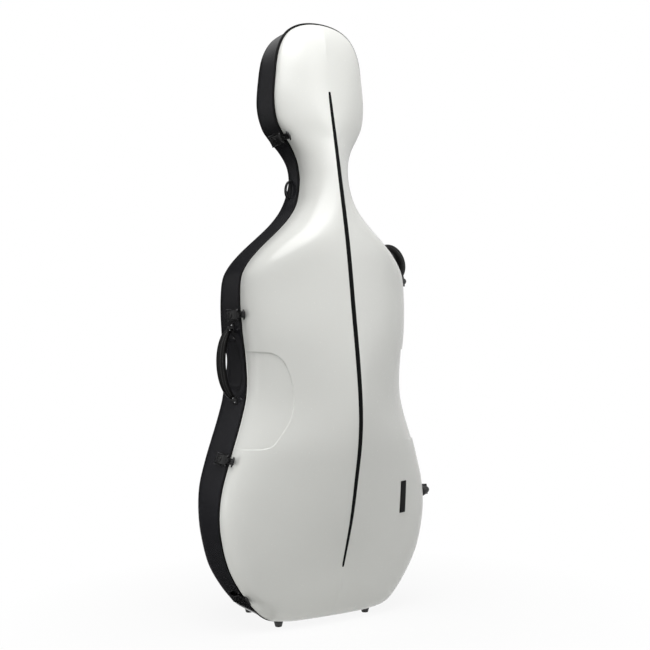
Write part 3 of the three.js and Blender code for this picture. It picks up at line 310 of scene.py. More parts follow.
# Feet: radii and heights from the recess under a foot to its root
FOOT_SPREAD = 112
FOOT_DEPTHS = {"front": 13, "back": 158}
FOOT_TOP = 10.5
FOOT_BOTTOM = 7.5
FOOT_ROOT = STAND_HEIGHT + 14
FOOT_PROFILE = [(0, 1.2), (3.2, 1.2), (3.6, 0.2), (FOOT_BOTTOM - 1, 0), (FOOT_BOTTOM - 0.3, 0.3),
                (FOOT_BOTTOM, 1), (FOOT_BOTTOM + 1.1, 4.6), (FOOT_BOTTOM + 1.0, 5.0), (FOOT_BOTTOM + 1.0, 5.6),
                (FOOT_BOTTOM + 1.5, 6), (FOOT_TOP - 0.2, STAND_HEIGHT - 1), (FOOT_TOP, STAND_HEIGHT),
                (FOOT_TOP, FOOT_ROOT), (0, FOOT_ROOT)]
FOOT_SCREW = {"radius": 2.6, "seat": 1.3}

# Neck strap: shares of its half width and of its rise. Its section has shares of its thickness
STRAP_THICKNESS = 1.9
STRAP_SHARES = [(-1, 0), (-0.75, 0), (-0.6, 0.55), (-0.33, 0.95)]
STRAP_CROWN = 1.1
STRAP_CORNER = (0.35, 0.6)

# Bow holders: width and depth of their grooves, and the turning clips
HOLDER_GROOVES = {"tip": (8, 9), "frog": (13, 9)}
HOLDER_DEPTH = 40
HOLDER_SINK = 1.5
# Rounded ends: how far they draw in, how soon along the block, and how much of that goes to its middle
HOLDER_END = 1.2
HOLDER_END_RATE = 60
HOLDER_END_SPREAD = 20
HOLDER_SHARES = (0, 0.02, 0.06, 0.2, 0.4, 0.6, 0.8, 0.94, 0.98, 1)
CLIP_THICKNESS = 2.4
CLIP_CORNER = 4.2
CLIP_POST = 2.5
CLIP_SCREW = 3.0
CLIP_SCREW_SEAT = 0.1

# Cushions: how full each one is. Then, in metres, how far it swells past its slightly smaller core
CUSHIONS = {
    "shoulder_pad_left": 0.7, "shoulder_pad_right": 0.7, "lower_pad_left": 0.7, "lower_pad_right": 0.7,
    "end_pad": 0.6, "upper_rest": 0.75, "lower_rest": 0.75, "neck_cradle": 0.6,
}
CUSHION_SWELL = 0.0046
CUSHION_SHRINK = 0.0024
CUSHION_VOXEL = 0.004
CUSHION_PRESSURE = 4.0
CUSHION_STEPS = 18

# Camera, fitted to the photograph's viewpoint
CAMERA = {"turn": 30.44, "distance": 2362.2, "height": 630.9, "aside": 7.41, "look_up": 0.67, "tilt": 0.78,
          "focal": 1055.6, "frame": 650, "sensor": 36}

# Lamps, in metres and degrees: place, target, size and spread, then the setting and share of their power
HIGH = (0, 0, 0.9)
LAMPS = [
    ("Key", (-0.8, -1.1, 2.65), HIGH, 2.2, 180, "key_power", 1),
    ("Front top", (0.3, -1.5, 2.9), HIGH, 2.2, 180, "key_power", 0.42),
    ("Left side", (-1.6, 0.4, 0.15), (-0.25, 0, 0.15), 0.7, 45, "left_power", 1),
    ("Right side", (2.4, -1.7, 1.3), HIGH, 2.2, 180, "right_power", 1),
]

# Share of plain white that the camera sees on the floor, from near the case to far from it
FLOOR_WHITE = (0.25, 0.8, 0.91, 1.0)

# Dark card behind the case and on the floor beside it, in metres. Then the stretches over which it gets
# darker aside and lighter upwards, and over which it fades away
CARD = {"left": -2.8, "right": 3.2, "back": 2.4, "top": 3.2, "inner": -0.15, "front": -0.1, "lift": 0.002}
CARD_MIDDLE = 0.2
CARD_LEVEL_ASIDE = (-1.9, -0.7, 0.3, 0.02)
CARD_LEVEL_UP = (0.0, 1.6, 0.6, 2.2)
CARD_FADE_ASIDE = (2.0, 3.0, 1.0, 0.0)
CARD_FADE_UP = (2.2, 3.2, 1.0, 0.0)

# ---------------------------------------------------------------- outline and surfaces

def mix(low, high, share):
    return low + (high - low) * share


def smoothstep(share):
    share = np.clip(share, 0, 1)
    return share * share * (3 - 2 * share)


def bell_curve(spread):
    """Weights of a bell curve, over three spreads to each side."""
    reach = int(3 * spread)
    bell = np.exp(-0.5 * (np.arange(-reach, reach + 1) / spread) ** 2)
    return bell / bell.sum()


def blurred(values, spread):
    """A table smoothed by a bell curve, with its ends held."""
    bell = bell_curve(spread)
    return np.convolve(np.pad(values, len(bell) // 2, mode="edge"), bell, mode="valid")


def depth_curve(shares, scale):
    """A smooth function of height through a table of shares."""
    heights = np.array([share for share, _ in shares]) * CASE_HEIGHT
    values = np.array([value for _, value in shares]) * scale
    ends = np.arange(len(heights))
    before, after = np.maximum(ends - 1, 0), np.minimum(ends + 1, ends[-1])
    slopes = (values[after] - values[before]) / (heights[after] - heights[before])
    table = np.arange(0.0, CASE_HEIGHT + 1)
    z = np.clip(table, heights[0], heights[-1])
    i = np.clip(np.searchsorted(heights, z), 1, len(heights) - 1)
    span = heights[i] - heights[i - 1]
    t = (z - heights[i - 1]) / span
    curve = mix(values[i - 1], values[i], (3 - 2 * t) * t * t)
    curve += span * t * (1 - t) * ((1 - t) * slopes[i - 1] - t * slopes[i])
    curve = blurred(curve, DEPTH_BLUR)
    return lambda height: np.interp(height, table, curve)


ridge_depth = depth_curve(RIDGE_SHARES, LID_DEPTH)
back_depth = depth_curve(BACK_SHARES, BASE_DEPTH)
flank_share = depth_curve(FLANK_SHARES, 1)
wall_share = depth_curve(WALL_SHARES, 1)


def outline_half():
    """Points of the outline on the +X side, from the middle of the bottom to the top."""
    places = list(WIDTHS)
    points = [(0.0, float(STAND_HEIGHT))]
    for start, end, shares in zip(places, places[1:], OUTLINE_SHARES):
        for rise, change in [*shares, (1, 1)]:
            points.append((mix(WIDTHS[start], WIDTHS[end], change) / 2,
                           mix(HEIGHTS[start], HEIGHTS[end], rise)))
    return np.array(points)


def spline_piece(corners, steps):
    """One stretch of a centripetal curve between its two middle corners, and its directions."""
    a, b, c, d = corners
    gaps = [max(np.linalg.norm(q - p), 1e-4) ** 0.5 for p, q in ((a, b), (b, c), (c, d))]
    start = (b - a) / gaps[0] - (c - a) / (gaps[0] + gaps[1]) + (c - b) / gaps[1]
    end = (c - b) / gaps[1] - (d - b) / (gaps[1] + gaps[2]) + (d - c) / gaps[2]
    start, end = start * gaps[1], end * gaps[1]
    t = np.linspace(0, 1, steps, endpoint=False)[:, None]
    square, cube = 3 * (c - b) - 2 * start - end, 2 * (b - c) + start + end
    return b + t * start + t ** 2 * square + t ** 3 * cube, start + 2 * t * square + 3 * t ** 2 * cube


def fine_outline(steps=60):
    half = outline_half()
    ring = [*half, *[(-x, z) for x, z in half[-2:0:-1]]]
    places, ways = [], []
    for i in range(len(half) - 1):
        corners = [np.array(ring[(i + k) % len(ring)]) for k in (-1, 0, 1, 2)]
        piece, way = spline_piece(corners, steps)
        places.append(piece)
        ways.append(way)
    places = np.vstack([*places, half[-1:]])
    ways = np.vstack([*ways, [[-1, 0]]])
    lengths = np.concatenate([[0], np.cumsum(np.linalg.norm(np.diff(places, axis=0), axis=1))])
    return places, ways / np.linalg.norm(ways, axis=1)[:, None], lengths


def spine_height(x, z):
    """Where a place on the outline meets the spine: level with it, or fanned out at both ends."""
    down = np.clip((HEIGHTS["lower_bout"] - z) / (HEIGHTS["lower_bout"] - STAND_HEIGHT), 0, None)
    up = np.clip((z - HEIGHTS["head"]) / (CASE_HEIGHT - HEIGHTS["head"]), 0, None)
    low_turn = np.arctan2(down, x / (WIDTHS["lower_bout"] / 2)) / (math.pi / 2)
    high_turn = np.arctan2(up, x / (WIDTHS["head"] / 2)) / (math.pi / 2)
    low = mix(HEIGHTS["lower_bout"], SPINE_BOTTOM, low_turn)
    high = mix(HEIGHTS["head"], SPINE_TOP, high_turn)
    return np.where(down > 0, low, np.where(up > 0, high, z))


class Stations:
    """Places along the half outline, with the way out of the case and the place on the spine."""

    def __init__(self, along, blur=0):
        places, ways, lengths = fine_outline()
        self.x, self.z = [np.interp(along, lengths, places[:, k]) for k in (0, 1)]
        way_x, way_z = [np.interp(along, lengths, ways[:, k]) for k in (0, 1)]
        size = np.hypot(way_x, way_z)
        self.out_x, self.out_z = way_z / size, -way_x / size
        self.out_x[[0, -1]] = 0
        self.x[[0, -1]] = 0
        spine = spine_height(places[:, 0], places[:, 1])
        if blur:
            level = np.arange(0, lengths[-1], 1.0)
            table = np.interp(level, lengths, spine)
            before = 2 * table[0] - table[SPINE_MIRROR:0:-1]
            after = 2 * table[-1] - table[-2:-SPINE_MIRROR - 2:-1]
            table = np.concatenate([before, table, after])
            spine = np.convolve(table, bell_curve(blur), mode="same")[SPINE_MIRROR:-SPINE_MIRROR]
            lengths = level
        self.spine = np.interp(along, lengths, spine)

    def row(self, inset, y):
        """The outline moved in by an inset, at a depth."""
        x = self.x - self.out_x * inset
        z = self.z - self.out_z * inset
        return np.stack([x, np.broadcast_to(y, x.shape), z], axis=-1)


def spaced_stations(spacing, fine, fine_span):
    """Stations about a spacing apart, closer together over a span of heights."""
    places, _, lengths = fine_outline()
    inside = (places[:, 1] > fine_span[0]) & (places[:, 1] < fine_span[1])
    gap = blurred(np.where(inside, fine, spacing).astype(float), SPACING_BLUR)
    count = np.concatenate([[0], np.cumsum(np.diff(lengths) / ((gap[1:] + gap[:-1]) / 2))])
    total = int(round(count[-1]))
    return Stations(np.interp(np.linspace(0, count[-1], total + 1), count, lengths), SPINE_BLUR)


CAD_STATIONS = Stations(np.linspace(0, fine_outline()[2][-1], 43))


def soft_ridge(share, spine):
    """Rise of the lid towards its ridge, which fades away above and below the stripe."""
    soft = RIDGE_SOFTNESS + HEAD_SOFTNESS * smoothstep((spine - STRIPE_TOP + HEAD_FADE_START) / HEAD_FADE)
    soft = soft + FOOT_SOFTNESS * smoothstep((STRIPE_BOTTOM + FOOT_FADE_START - spine) / FOOT_FADE)
    return (np.hypot(share, soft) - soft) / (np.hypot(1, soft) - soft)


def superellipse(squareness, steps=300):
    """Shares of the way out and of the rise along a squared quarter turn, from rim to spine."""
    corner = 2 ** (-1 / squareness)
    short = np.linspace(0, corner, steps)
    long = (1 - short ** squareness) ** (1 / squareness)
    return np.concatenate([long, short[::-1][1:]]), np.concatenate([short, long[::-1][1:]])


def spread(stations, inset, out, y):
    """Points at a share of the way from the spine to the outline moved in by an inset."""
    x = (stations.x - stations.out_x * inset) * out
    z = mix(stations.spine, stations.z - stations.out_z * inset, out)
    return np.stack([x, y, z], axis=-1)


def resample(out, rise, depth, reach, start, levels):
    """Levels at even steps along one profile from the rim to the spine, from a starting depth."""
    length = np.concatenate([[0], np.cumsum(np.hypot(np.diff(out) * reach, np.diff(depth)))])
    begin = np.interp(start, depth, length) if start is not None else 0
    even = np.linspace(begin, length[-1], levels)
    return np.interp(even, length, out), np.interp(even, length, rise)


def level_table(stations, profile, levels, start=None):
    """Shares out and up of a surface, level by level, from its profile at each station."""
    reach = np.hypot(stations.x, stations.z - stations.spine) + 1
    pairs = [resample(*profile(i), far, start, levels) for i, far in enumerate(reach)]
    return np.array([out for out, _ in pairs]).T, np.array([rise for _, rise in pairs]).T


def lid_levels(stations, inset, levels, start=None):
    out, rise = superellipse(LID_SQUARENESS)
    depth = ridge_depth(stations.spine) - RIM_HALF
    flank = depth * flank_share(stations.spine)

    def profile(i):
        down = RIM_HALF + max(flank[i] - inset, 0) * rise
        return out, rise, down + (depth[i] - flank[i]) * (1 - soft_ridge(out, stations.spine[i]))

    return level_table(stations, profile, levels, start)


def own_level(stations, inset, out, fade):
    """Height at which a depth is read: the spine's at the rim, and a point's own next to the spine, so
    that both sides meet there without a crease where the rows fan out."""
    return stations.spine + (stations.z - stations.out_z * inset - stations.spine) * out * (1 - out) ** fade


def lid_surface(stations, inset, out, rise):
    flank = (ridge_depth(stations.spine) - RIM_HALF) * flank_share(stations.spine)
    fade = np.where(stations.spine > HEIGHTS["neck"], LEVEL_FADE, LOW_LEVEL_FADE)
    depth = ridge_depth(own_level(stations, inset, out, fade)) - RIM_HALF
    roof = (depth - flank) * (1 - soft_ridge(out, stations.spine))
    y = -RIM_HALF - np.maximum(flank - inset, 0) * rise - roof
    return spread(stations, inset, out, y)


def base_levels(stations, levels):
    depth = back_depth(stations.spine)
    wall = depth * wall_share(stations.spine)
    squareness = BASE_SQUARENESS + BOTTOM_SQUARENESS * np.maximum(-stations.out_z, 0) ** 2

    def profile(i):
        out, rise = superellipse(squareness[i])
        return out, rise, (depth[i] - wall[i]) * rise

    return level_table(stations, profile, levels)


def base_surface(stations, inset, out, rise):
    wall = back_depth(stations.spine) * wall_share(stations.spine)
    depth = back_depth(own_level(stations, inset, out, LEVEL_FADE))
    return spread(stations, inset, out, wall + (depth - wall - inset) * rise)


def wall_rows(stations, inset, start, levels):
    """Rows of the base's straight side wall, from a depth to where the back begins to turn."""
    wall = back_depth(stations.spine) * wall_share(stations.spine)
    shares = np.linspace(0, 1, levels, endpoint=False)[:, None]
    return spread(stations, inset, np.ones((levels, 1)), mix(start, wall, shares))


def dented_rows(stations, inset, start, walls, levels, dent):
    """Rows of the base from a depth on its wall to its spine, pushed in inside a line on the wall."""
    line, deep, margin, slope = dent
    out, rise = base_levels(stations, levels)

    def rows(push):
        return np.concatenate([wall_rows(stations, inset + push[:walls], start, walls),
                               base_surface(stations, inset + push[walls:], out, rise)])

    plain = rows(np.zeros((walls + levels, 1)))
    depth = patch_depth(plain[..., 1], plain[..., 2], line)
    return rows(deep * smoothstep((depth + margin) / slope))


def patch_depth(across, up, curve):
    """How far points lie inside a closed line, negative outside it."""
    points = np.stack([across, up], axis=-1)
    start, end = curve, np.roll(curve, -1, axis=0)
    way = end - start
    nearest = np.full(across.shape, np.inf)
    inside = np.zeros(across.shape, bool)
    for a, b, w in zip(start, end, way):
        share = np.clip(((points - a) @ w) / max(w @ w, 1e-9), 0, 1)
        gap = points - a - share[..., None] * w
        nearest = np.minimum(nearest, np.hypot(gap[..., 0], gap[..., 1]))
        crosses = (a[1] > up) != (b[1] > up)
        with np.errstate(divide="ignore", invalid="ignore"):
            meet = a[0] + (up - a[1]) / (b[1] - a[1]) * (b[0] - a[0])
        inside ^= crosses & (across < meet)
    return np.where(inside, nearest, -nearest)


def smooth_line(points, steps=10):
    """A closed smooth line through points in a plane."""
    points = [np.array(p, float) for p in points]
    return np.vstack([spline_piece([points[(i + k) % len(points)] for k in (-1, 0, 1, 2)], steps)[0]
                      for i in range(len(points))])


def open_line(points, steps=10):
    """An open smooth line through points, with both ends kept."""
    points = [np.array(p, float) for p in points]
    ends = [2 * points[0] - points[1], *points, 2 * points[-1] - points[-2]]
    pieces = [spline_piece(ends[i:i + 4], steps)[0] for i in range(len(points) - 1)]
    return np.vstack([*pieces, points[-1][None]])


def grip_line():
    far = WIDTHS["lower_bout"]
    line = open_line([(mix(WIDTHS["waist"] / 2, GRIP_INNER, inward), mix(GRIP_BOTTOM, GRIP_TOP, up))
                      for inward, up in [(0, 1), *GRIP_SHARES]])
    return np.vstack([[(far, GRIP_TOP)], line, [(far, GRIP_BOTTOM)]])


def hand_line(margin=0):
    near, far, bottom, top = HAND_NEAR - margin, HAND_FAR + margin, HAND_BOTTOM - margin, HAND_TOP + margin
    return smooth_line([(mix(near, far, back), mix(bottom, top, up)) for back, up in HAND_SHARES])


def wall_place(height, side, depth=0):
    """A place on the side wall, as local X out of the case, local Y back and local Z along the wall."""
    s = CAD_STATIONS
    i = int(np.argmax(s.z[1:] >= height)) + 1
    share = (height - s.z[i - 1]) / (s.z[i] - s.z[i - 1])
    x, out_x, out_z = [mix(v[i - 1], v[i], share) for v in (s.x, s.out_x, s.out_z)]
    return placed(Vector((side * x, depth, height)), Vector((side * out_x, 0, out_z)))


def placed(origin, out):
    """Axes at a place: local X out of the case, Y back and Z along the wall."""
    out = out.normalized()
    return axes(out, BACK, out.cross(BACK), origin)


def axes(x, y, z, origin):
    matrix = Matrix((x, y, z)).transposed().to_4x4()
    matrix.translation = origin
    return matrix


# ---------------------------------------------------------------- solids in mesh code

UP_IS_X = Matrix(((0, 0, 1, 0), (1, 0, 0, 0), (0, 1, 0, 0), (0, 0, 0, 1)))
UP_IS_Y = Matrix.Rotation(-math.pi / 2, 4, "X")
UPSIDE_DOWN = Matrix.Rotation(math.pi, 4, "X")


class Part:
    """Corners in case millimetres, faces, and which of the piece's materials they wear."""

    def __init__(self, corners, faces, finish=0):
        self.corners = np.asarray(corners, float).reshape(-1, 3)
        self.faces = [tuple(int(i) for i in face) for face in faces]
        self.finish = finish

    def moved(self, matrix):
        turn = np.array(matrix.to_3x3())
        corners = self.corners @ turn.T + np.array(matrix.translation)
        flipped = matrix.to_3x3().determinant() < 0
        return Part(corners, [face[::-1] for face in self.faces] if flipped else self.faces, self.finish)

    def shifted(self, x, y, z):
        return self.moved(Matrix.Translation((x, y, z)))

    def dressed(self, finish):
        return Part(self.corners, self.faces, finish)

    def outward(self):
        """The same part with its faces turned outwards."""
        total = 0.0
        for face in self.faces:
            a = self.corners[face[0]]
            for b, c in zip(face[1:], face[2:]):
                total += a @ np.cross(self.corners[b], self.corners[c])
        return self if total > 0 else Part(self.corners, [f[::-1] for f in self.faces], self.finish)


def from_bmesh(bm):
    bm.verts.ensure_lookup_table()
    bm.verts.index_update()
    part = Part([v.co[:] for v in bm.verts], [[v.index for v in f.verts] for f in bm.faces])
    bm.free()
    return part


def mirrored_body(rows, loop=False):
    """A closed body from rows of points on the +X side, joined to their mirror image."""
    rows = np.asarray(rows)
    levels, count = rows.shape[:2]
    right = rows.reshape(-1, 3)
    left = right * (-1, 1, 1)
    number = np.arange(levels * count).reshape(levels, count)
    follow = np.roll(number, -1, axis=0) if loop else number[1:]
    here = number if loop else number[:-1]
    a, b, c, d = here[:, :-1], here[:, 1:], follow[:, 1:], follow[:, :-1]
    quads = np.stack([a, b, c, d], axis=-1).reshape(-1, 4)
    corners = np.vstack([right, left])
    faces = np.vstack([quads, quads[:, ::-1] + len(right)])
    # Corners on the middle plane and on the spine belong to both sides
    keys = np.round(corners * MERGE_STEPS).astype(np.int64)
    _, first, shared = np.unique(keys, axis=0, return_index=True, return_inverse=True)
    kept = []
    for face in shared.reshape(-1)[faces].tolist():
        ring = [v for i, v in enumerate(face) if v != face[i - 1]]
        if len(set(ring)) > 2:
            kept.append(tuple(ring))
    return Part(corners[first], kept).outward()


def swept(rings, closed=False):
    """A body through rings of points, capped at both ends or closed in a loop."""
    rings = [np.asarray(ring, float) for ring in rings]
    count, total = len(rings[0]), len(rings)
    faces = []
    for r in range(total if closed else total - 1):
        for k in range(count):
            n, s = (k + 1) % count, (r + 1) % total
            faces.append((r * count + k, r * count + n, s * count + n, s * count + k))
    if not closed:
        faces.append(tuple(range(count))[::-1])
        faces.append(tuple((total - 1) * count + k for k in range(count)))
    return Part(np.vstack(rings), faces).outward()


def round_turns(count):
    """Angles at even steps all the way round."""
    return np.linspace(0, 2 * math.pi, count, endpoint=False)


def turned(profile, steps=32):
    """A body turned about local Z from radii and heights."""
    turns = round_turns(steps)
    rings = []
    for radius, height in profile:
        radius = max(radius, AXIS_RADIUS)
        level = np.full(steps, float(height))
        rings.append(np.stack([radius * np.cos(turns), radius * np.sin(turns), level], axis=-1))
    return swept(rings)


def rod(radius, span, at=(0, 0), round_off=0.4, steps=32):
    """A round rod along local Z with softened ends."""
    low, high = span
    soft = [(radius - round_off, 0), (radius - round_off * 0.3, round_off * 0.3), (radius, round_off)]
    start, end = [(r, low + h) for r, h in soft], [(r, high - h) for r, h in reversed(soft)]
    return turned([(0, low), *start, *end, (0, high)], steps).shifted(*at, 0)


def box_line(x0, x1, y0, y1):
    return [(x0, y0), (x1, y0), (x1, y1), (x0, y1)]


def rounded(points, radius, steps=4):
    """A polygon with its corners rounded off."""
    points = [Vector(p) for p in points]
    result = []
    for i, here in enumerate(points):
        before, after = points[i - 1], points[(i + 1) % len(points)]
        to_before, to_after = before - here, after - here
        room = min(radius, to_before.length / 2.1, to_after.length / 2.1)
        a, b = here + to_before.normalized() * room, here + to_after.normalized() * room
        for k in range(steps + 1):
            t = k / steps
            result.append(((1 - t) ** 2 * a + 2 * t * (1 - t) * here + t * t * b)[:2])
    return result


def prism(profile, span, bevel=0.5, segments=2):
    """A profile in local X and Y, drawn out along local Z, with its end edges bevelled."""
    bm = bmesh.new()
    low = [bm.verts.new((*p, span[0])) for p in profile]
    high = [bm.verts.new((*p, span[1])) for p in profile]
    caps = [bm.faces.new(low[::-1]), bm.faces.new(high)]
    for i, corner in enumerate(low):
        j = (i + 1) % len(low)
        bm.faces.new((corner, low[j], high[j], high[i]))
    bmesh.ops.recalc_face_normals(bm, faces=bm.faces[:])
    if bevel:
        edges = [edge for cap in caps for edge in cap.edges]
        bmesh.ops.bevel(bm, geom=edges, offset=bevel, segments=segments, profile=0.5, affect="EDGES")
    return from_bmesh(bm)


def slab(limits, corner, bevel=0.5):
    """A block with rounded upright corners: limits in local X, Y and Z, drawn out along X."""
    out, back, along = limits
    return prism(rounded(box_line(*back, *along), corner), out, bevel).moved(UP_IS_X)


def shrunk(line, amount):
    """A closed line in a plane, drawn in towards the middle of its box."""
    line = np.array(line, float)
    middle = (line.min(axis=0) + line.max(axis=0)) / 2
    way = line - middle
    size = np.linalg.norm(way, axis=1)[:, None]
    return middle + way * (size - amount) / size


def framed_hole(outer, inner, span, soft):
    """A plate in local X and Y with a hole of as many corners through it. Its edges are rounded by
    insets and rises."""
    low, high = span
    rings = [(outer, inward, low + up) for inward, up in soft[::-1]]
    rings += [(outer, inward, high - up) for inward, up in soft]
    rings += [(inner, -inward, high - up) for inward, up in soft[::-1]]
    rings += [(inner, -inward, low + up) for inward, up in soft]
    return swept([np.column_stack([shrunk(line, inward), np.full(len(line), level)])
                  for line, inward, level in rings], closed=True)


def screw_head(radius):
    """A low domed screw head with a cross recess, standing on local Z."""
    return turned([(0, -0.6), (radius, -0.6), (radius, 0.25), (radius * 0.9, 0.6), (radius * 0.6, 0.9),
                   (0.75, 1.0), (0.55, 0.55), (0, 0.5)], 24)


def headed_rod(radius, half, head, overlap, height, at=(0, 0)):
    """A pin along local Z with a flat head at both ends."""
    near, far = half - overlap, half + height
    heads = [rod(head, span, at, 0.35) for span in ((-far, -near), (near, far))]
    return [rod(radius, (-half, half), at), *heads]


def wall_screw(radius, lift, back, along, finish):
    """A screw head that stands out of a wall, along local X."""
    return screw_head(radius).moved(UP_IS_X).shifted(lift, back, along).dressed(finish)


def in_case(place):
    """A place of the frame, in case millimetres."""
    return (Vector(place) - ORIGIN) / MM


def case_box(node):
    return [in_case(corner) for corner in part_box(node)]


def to_frame(corners):
    return np.asarray(corners, float) * MM + np.array(ORIGIN)


def add_object(name, data):
    made = bpy.data.objects.new(name, data)
    bpy.context.scene.collection.objects.link(made)
    return made


def make_piece(name, parts, finishes, body, nodes=(), slot=None, sharp=38, at=None):
    """One object from parts in case millimetres, smooth shaded up to a sharp angle."""
    corners, faces, wear = [], [], []
    for part in parts if at is None else [part.moved(at) for part in parts]:
        offset = sum(len(c) for c in corners)
        corners.append(part.corners)
        faces += [tuple(i + offset for i in face) for face in part.faces]
        wear += [part.finish] * len(part.faces)
    mesh = bpy.data.meshes.new(name)
    mesh.from_pydata(to_frame(np.vstack(corners)).tolist(), [], faces)
    mesh.validate()
    for finish in finishes:
        mesh.materials.append(make_finish(finish))
    if len(wear) == len(mesh.polygons):
        mesh.polygons.foreach_set("material_index", wear)
    mesh.shade_smooth()
    if sharp:
        mesh.set_sharp_from_angle(angle=math.radians(sharp))
    mesh.update()
    return settle(add_object(name, mesh), body, nodes, slot)


def settle(piece, body, nodes=(), slot=None):
    """Puts a finished piece on its body and hides the imported parts that it replaces."""
    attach(piece, body)
    if nodes:
        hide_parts(*nodes)
    return piece


def surface_of(name, way):
    """A function that finds local Y where a line from the plane or from afar meets a piece."""
    mesh = bpy.data.objects[name].data
    tree = BVHTree.FromPolygons([v.co for v in mesh.vertices], [p.vertices[:] for p in mesh.polygons])
    start = 0 if way < 0 else -2 * LID_DEPTH

    def find(x, z):
        hit = tree.ray_cast(ORIGIN + Vector((x, start, z)) * MM, Vector((0, way, 0)))[0]
        return (hit.y - ORIGIN.y) / MM

    return find


# ---------------------------------------------------------------- materials

class Graph:
    """Adds nodes to a tree; a socket given as an input is linked, any other value is set."""

    def __init__(self, tree):
        self.tree = tree

    def add(self, kind, inputs=None, **settings):
        node = self.tree.nodes.new(kind)
        for key, value in settings.items():
            setattr(node, key, value)
        return self.feed(node, inputs or {})

    def feed(self, node, inputs):
        for key, value in inputs.items():
            if isinstance(value, bpy.types.NodeSocket):
                self.tree.links.new(value, node.inputs[key])
            else:
                node.inputs[key].default_value = value
        return node

    def math(self, operation, a, b=0.0):
        return self.add("ShaderNodeMath", {0: a, 1: b}, operation=operation).outputs[0]

    def blend(self, share, a, b):
        return self.add("ShaderNodeMix", {0: share, 6: a, 7: b}, data_type="RGBA").outputs[2]

    def fit(self, value, low, high, to_low, to_high):
        sockets = {"Value": value, "From Min": low, "From Max": high, "To Min": to_low, "To Max": to_high}
        return self.add("ShaderNodeMapRange", sockets).outputs[0]

    def place(self):
        return self.add("ShaderNodeTexCoord").outputs["Object"]

    def noise(self, scale, detail=2.0, roughness=0.5, at=None):
        sockets = {"Vector": at or self.place(), "Scale": scale, "Detail": detail, "Roughness": roughness}
        return self.add("ShaderNodeTexNoise", sockets).outputs["Fac"]

    def bump(self, height, strength, distance):
        sockets = {"Height": height, "Strength": strength, "Distance": distance}
        return self.add("ShaderNodeBump", sockets).outputs[0]

    def shader(self):
        return self.tree.nodes["Principled BSDF"]


COLOUR, NUMBER, VECTOR = "NodeSocketColor", "NodeSocketFloat", "NodeSocketVector"
OUTPUT_KINDS = {"Colour": COLOUR, "Roughness": NUMBER, "Normal": VECTOR}


def shader_group(name):
    """A shader node group with named inputs and outputs, built once."""
    found = bpy.data.node_groups.get(name)
    if found:
        return found
    fill, inputs = GROUPS[name]
    tree = bpy.data.node_groups.new(name, "ShaderNodeTree")
    for label, kind, value in inputs:
        tree.interface.new_socket(label, in_out="INPUT", socket_type=kind).default_value = value
    graph = Graph(tree)
    made = fill(graph, graph.add("NodeGroupInput").outputs)
    for label in made:
        tree.interface.new_socket(label, in_out="OUTPUT", socket_type=OUTPUT_KINDS[label])
    graph.add("NodeGroupOutput", made)
    return tree


def fill_paint(g, given):
    """Sprayed gloss: a long soft ripple, a little dust in the sheen and a faint drift of colour."""
    ripple = g.noise(given["Ripple Scale"], 1.0)
    dust = g.noise(260.0, 3.0)
    drift = g.noise(4.0, 2.0)
    return {"Colour": g.blend(g.fit(drift, 0.3, 0.7, 0.0, 1.0), given["Colour"], given["Shade"]),
            "Roughness": g.math("ADD", given["Roughness"], g.fit(dust, 0.45, 0.8, 0.0, 0.05)),
            "Normal": g.bump(ripple, given["Ripple Strength"], 0.001)}


def fill_grain(g, given):
    """Moulded grain: fine pits with a slower change of sheen, worn lighter in patches."""
    pits = g.noise(given["Scale"], 4.0, 0.7)
    patch = g.noise(55.0, 3.0)
    return {"Colour": g.blend(g.fit(patch, 0.5, 0.75, 0.0, 1.0), given["Colour"], given["Worn Colour"]),
            "Roughness": g.math("ADD", given["Roughness"], g.fit(patch, 0.3, 0.7, 0.06, -0.06)),
            "Normal": g.bump(pits, given["Strength"], 0.0006)}


def fill_leather(g, given):
    """Leather: creased cells broken up by noise, with painted shade darkening the creases, and polished on top.
    """
    wobble = g.noise(90.0, 3.0)
    cells = g.add("ShaderNodeTexVoronoi", {"Vector": g.place(), "Scale": given["Scale"]},
                  feature="DISTANCE_TO_EDGE")
    crease = g.fit(cells.outputs["Distance"], 0.0, 0.22, 0.0, 1.0)
    mixed = g.math("ADD", crease, g.math("MULTIPLY", wobble, 0.5))
    # The creases take a darker colour, which is painted shade
    return {"Colour": g.blend(crease, given["Crease Colour"], given["Colour"]),
            "Roughness": g.fit(mixed, 0.2, 1.4, 0.5, 0.3),
            "Normal": g.bump(mixed, given["Strength"], 0.0006)}


def fill_velour(g, given):
    """Velour: dense pile that varies its tone at random, and brushed patches lightened by painted sheen as if
    they caught the light.
    """
    pile = g.noise(given["Scale"], 3.0, 0.8)
    brushed = g.noise(14.0, 3.0, 0.6)
    light = g.math("ADD", g.math("MULTIPLY", pile, 0.6), g.math("MULTIPLY", brushed, 0.6))
    # The fine pile varies the tone at random; the brushed patches lighten it as painted sheen
    return {"Colour": g.blend(g.fit(light, 0.35, 0.85, 0.0, 1.0), given["Colour"], given["Raised Colour"]),
            "Normal": g.bump(pile, 0.5, 0.0012)}


def fill_weave(g, given):
    """Webbing: rows of ribs across the band and finer threads along it, with a painted highlight lightening the
    raised parts.
    """
    split = g.add("ShaderNodeSeparateXYZ", {0: g.place()})
    ribs = g.math("SINE", g.math("MULTIPLY", split.outputs["X"], given["Rib Scale"]))
    threads = g.math("SINE", g.math("MULTIPLY", split.outputs["Z"], given["Thread Scale"]))
    woven = g.math("MULTIPLY", ribs, threads)
    # The raised parts of the weave are lightened by a painted highlight
    return {"Colour": g.blend(g.fit(woven, -1.0, 1.0, 0.0, 1.0), given["Colour"], given["Raised Colour"]),
            "Normal": g.bump(woven, 0.6, 0.0006)}


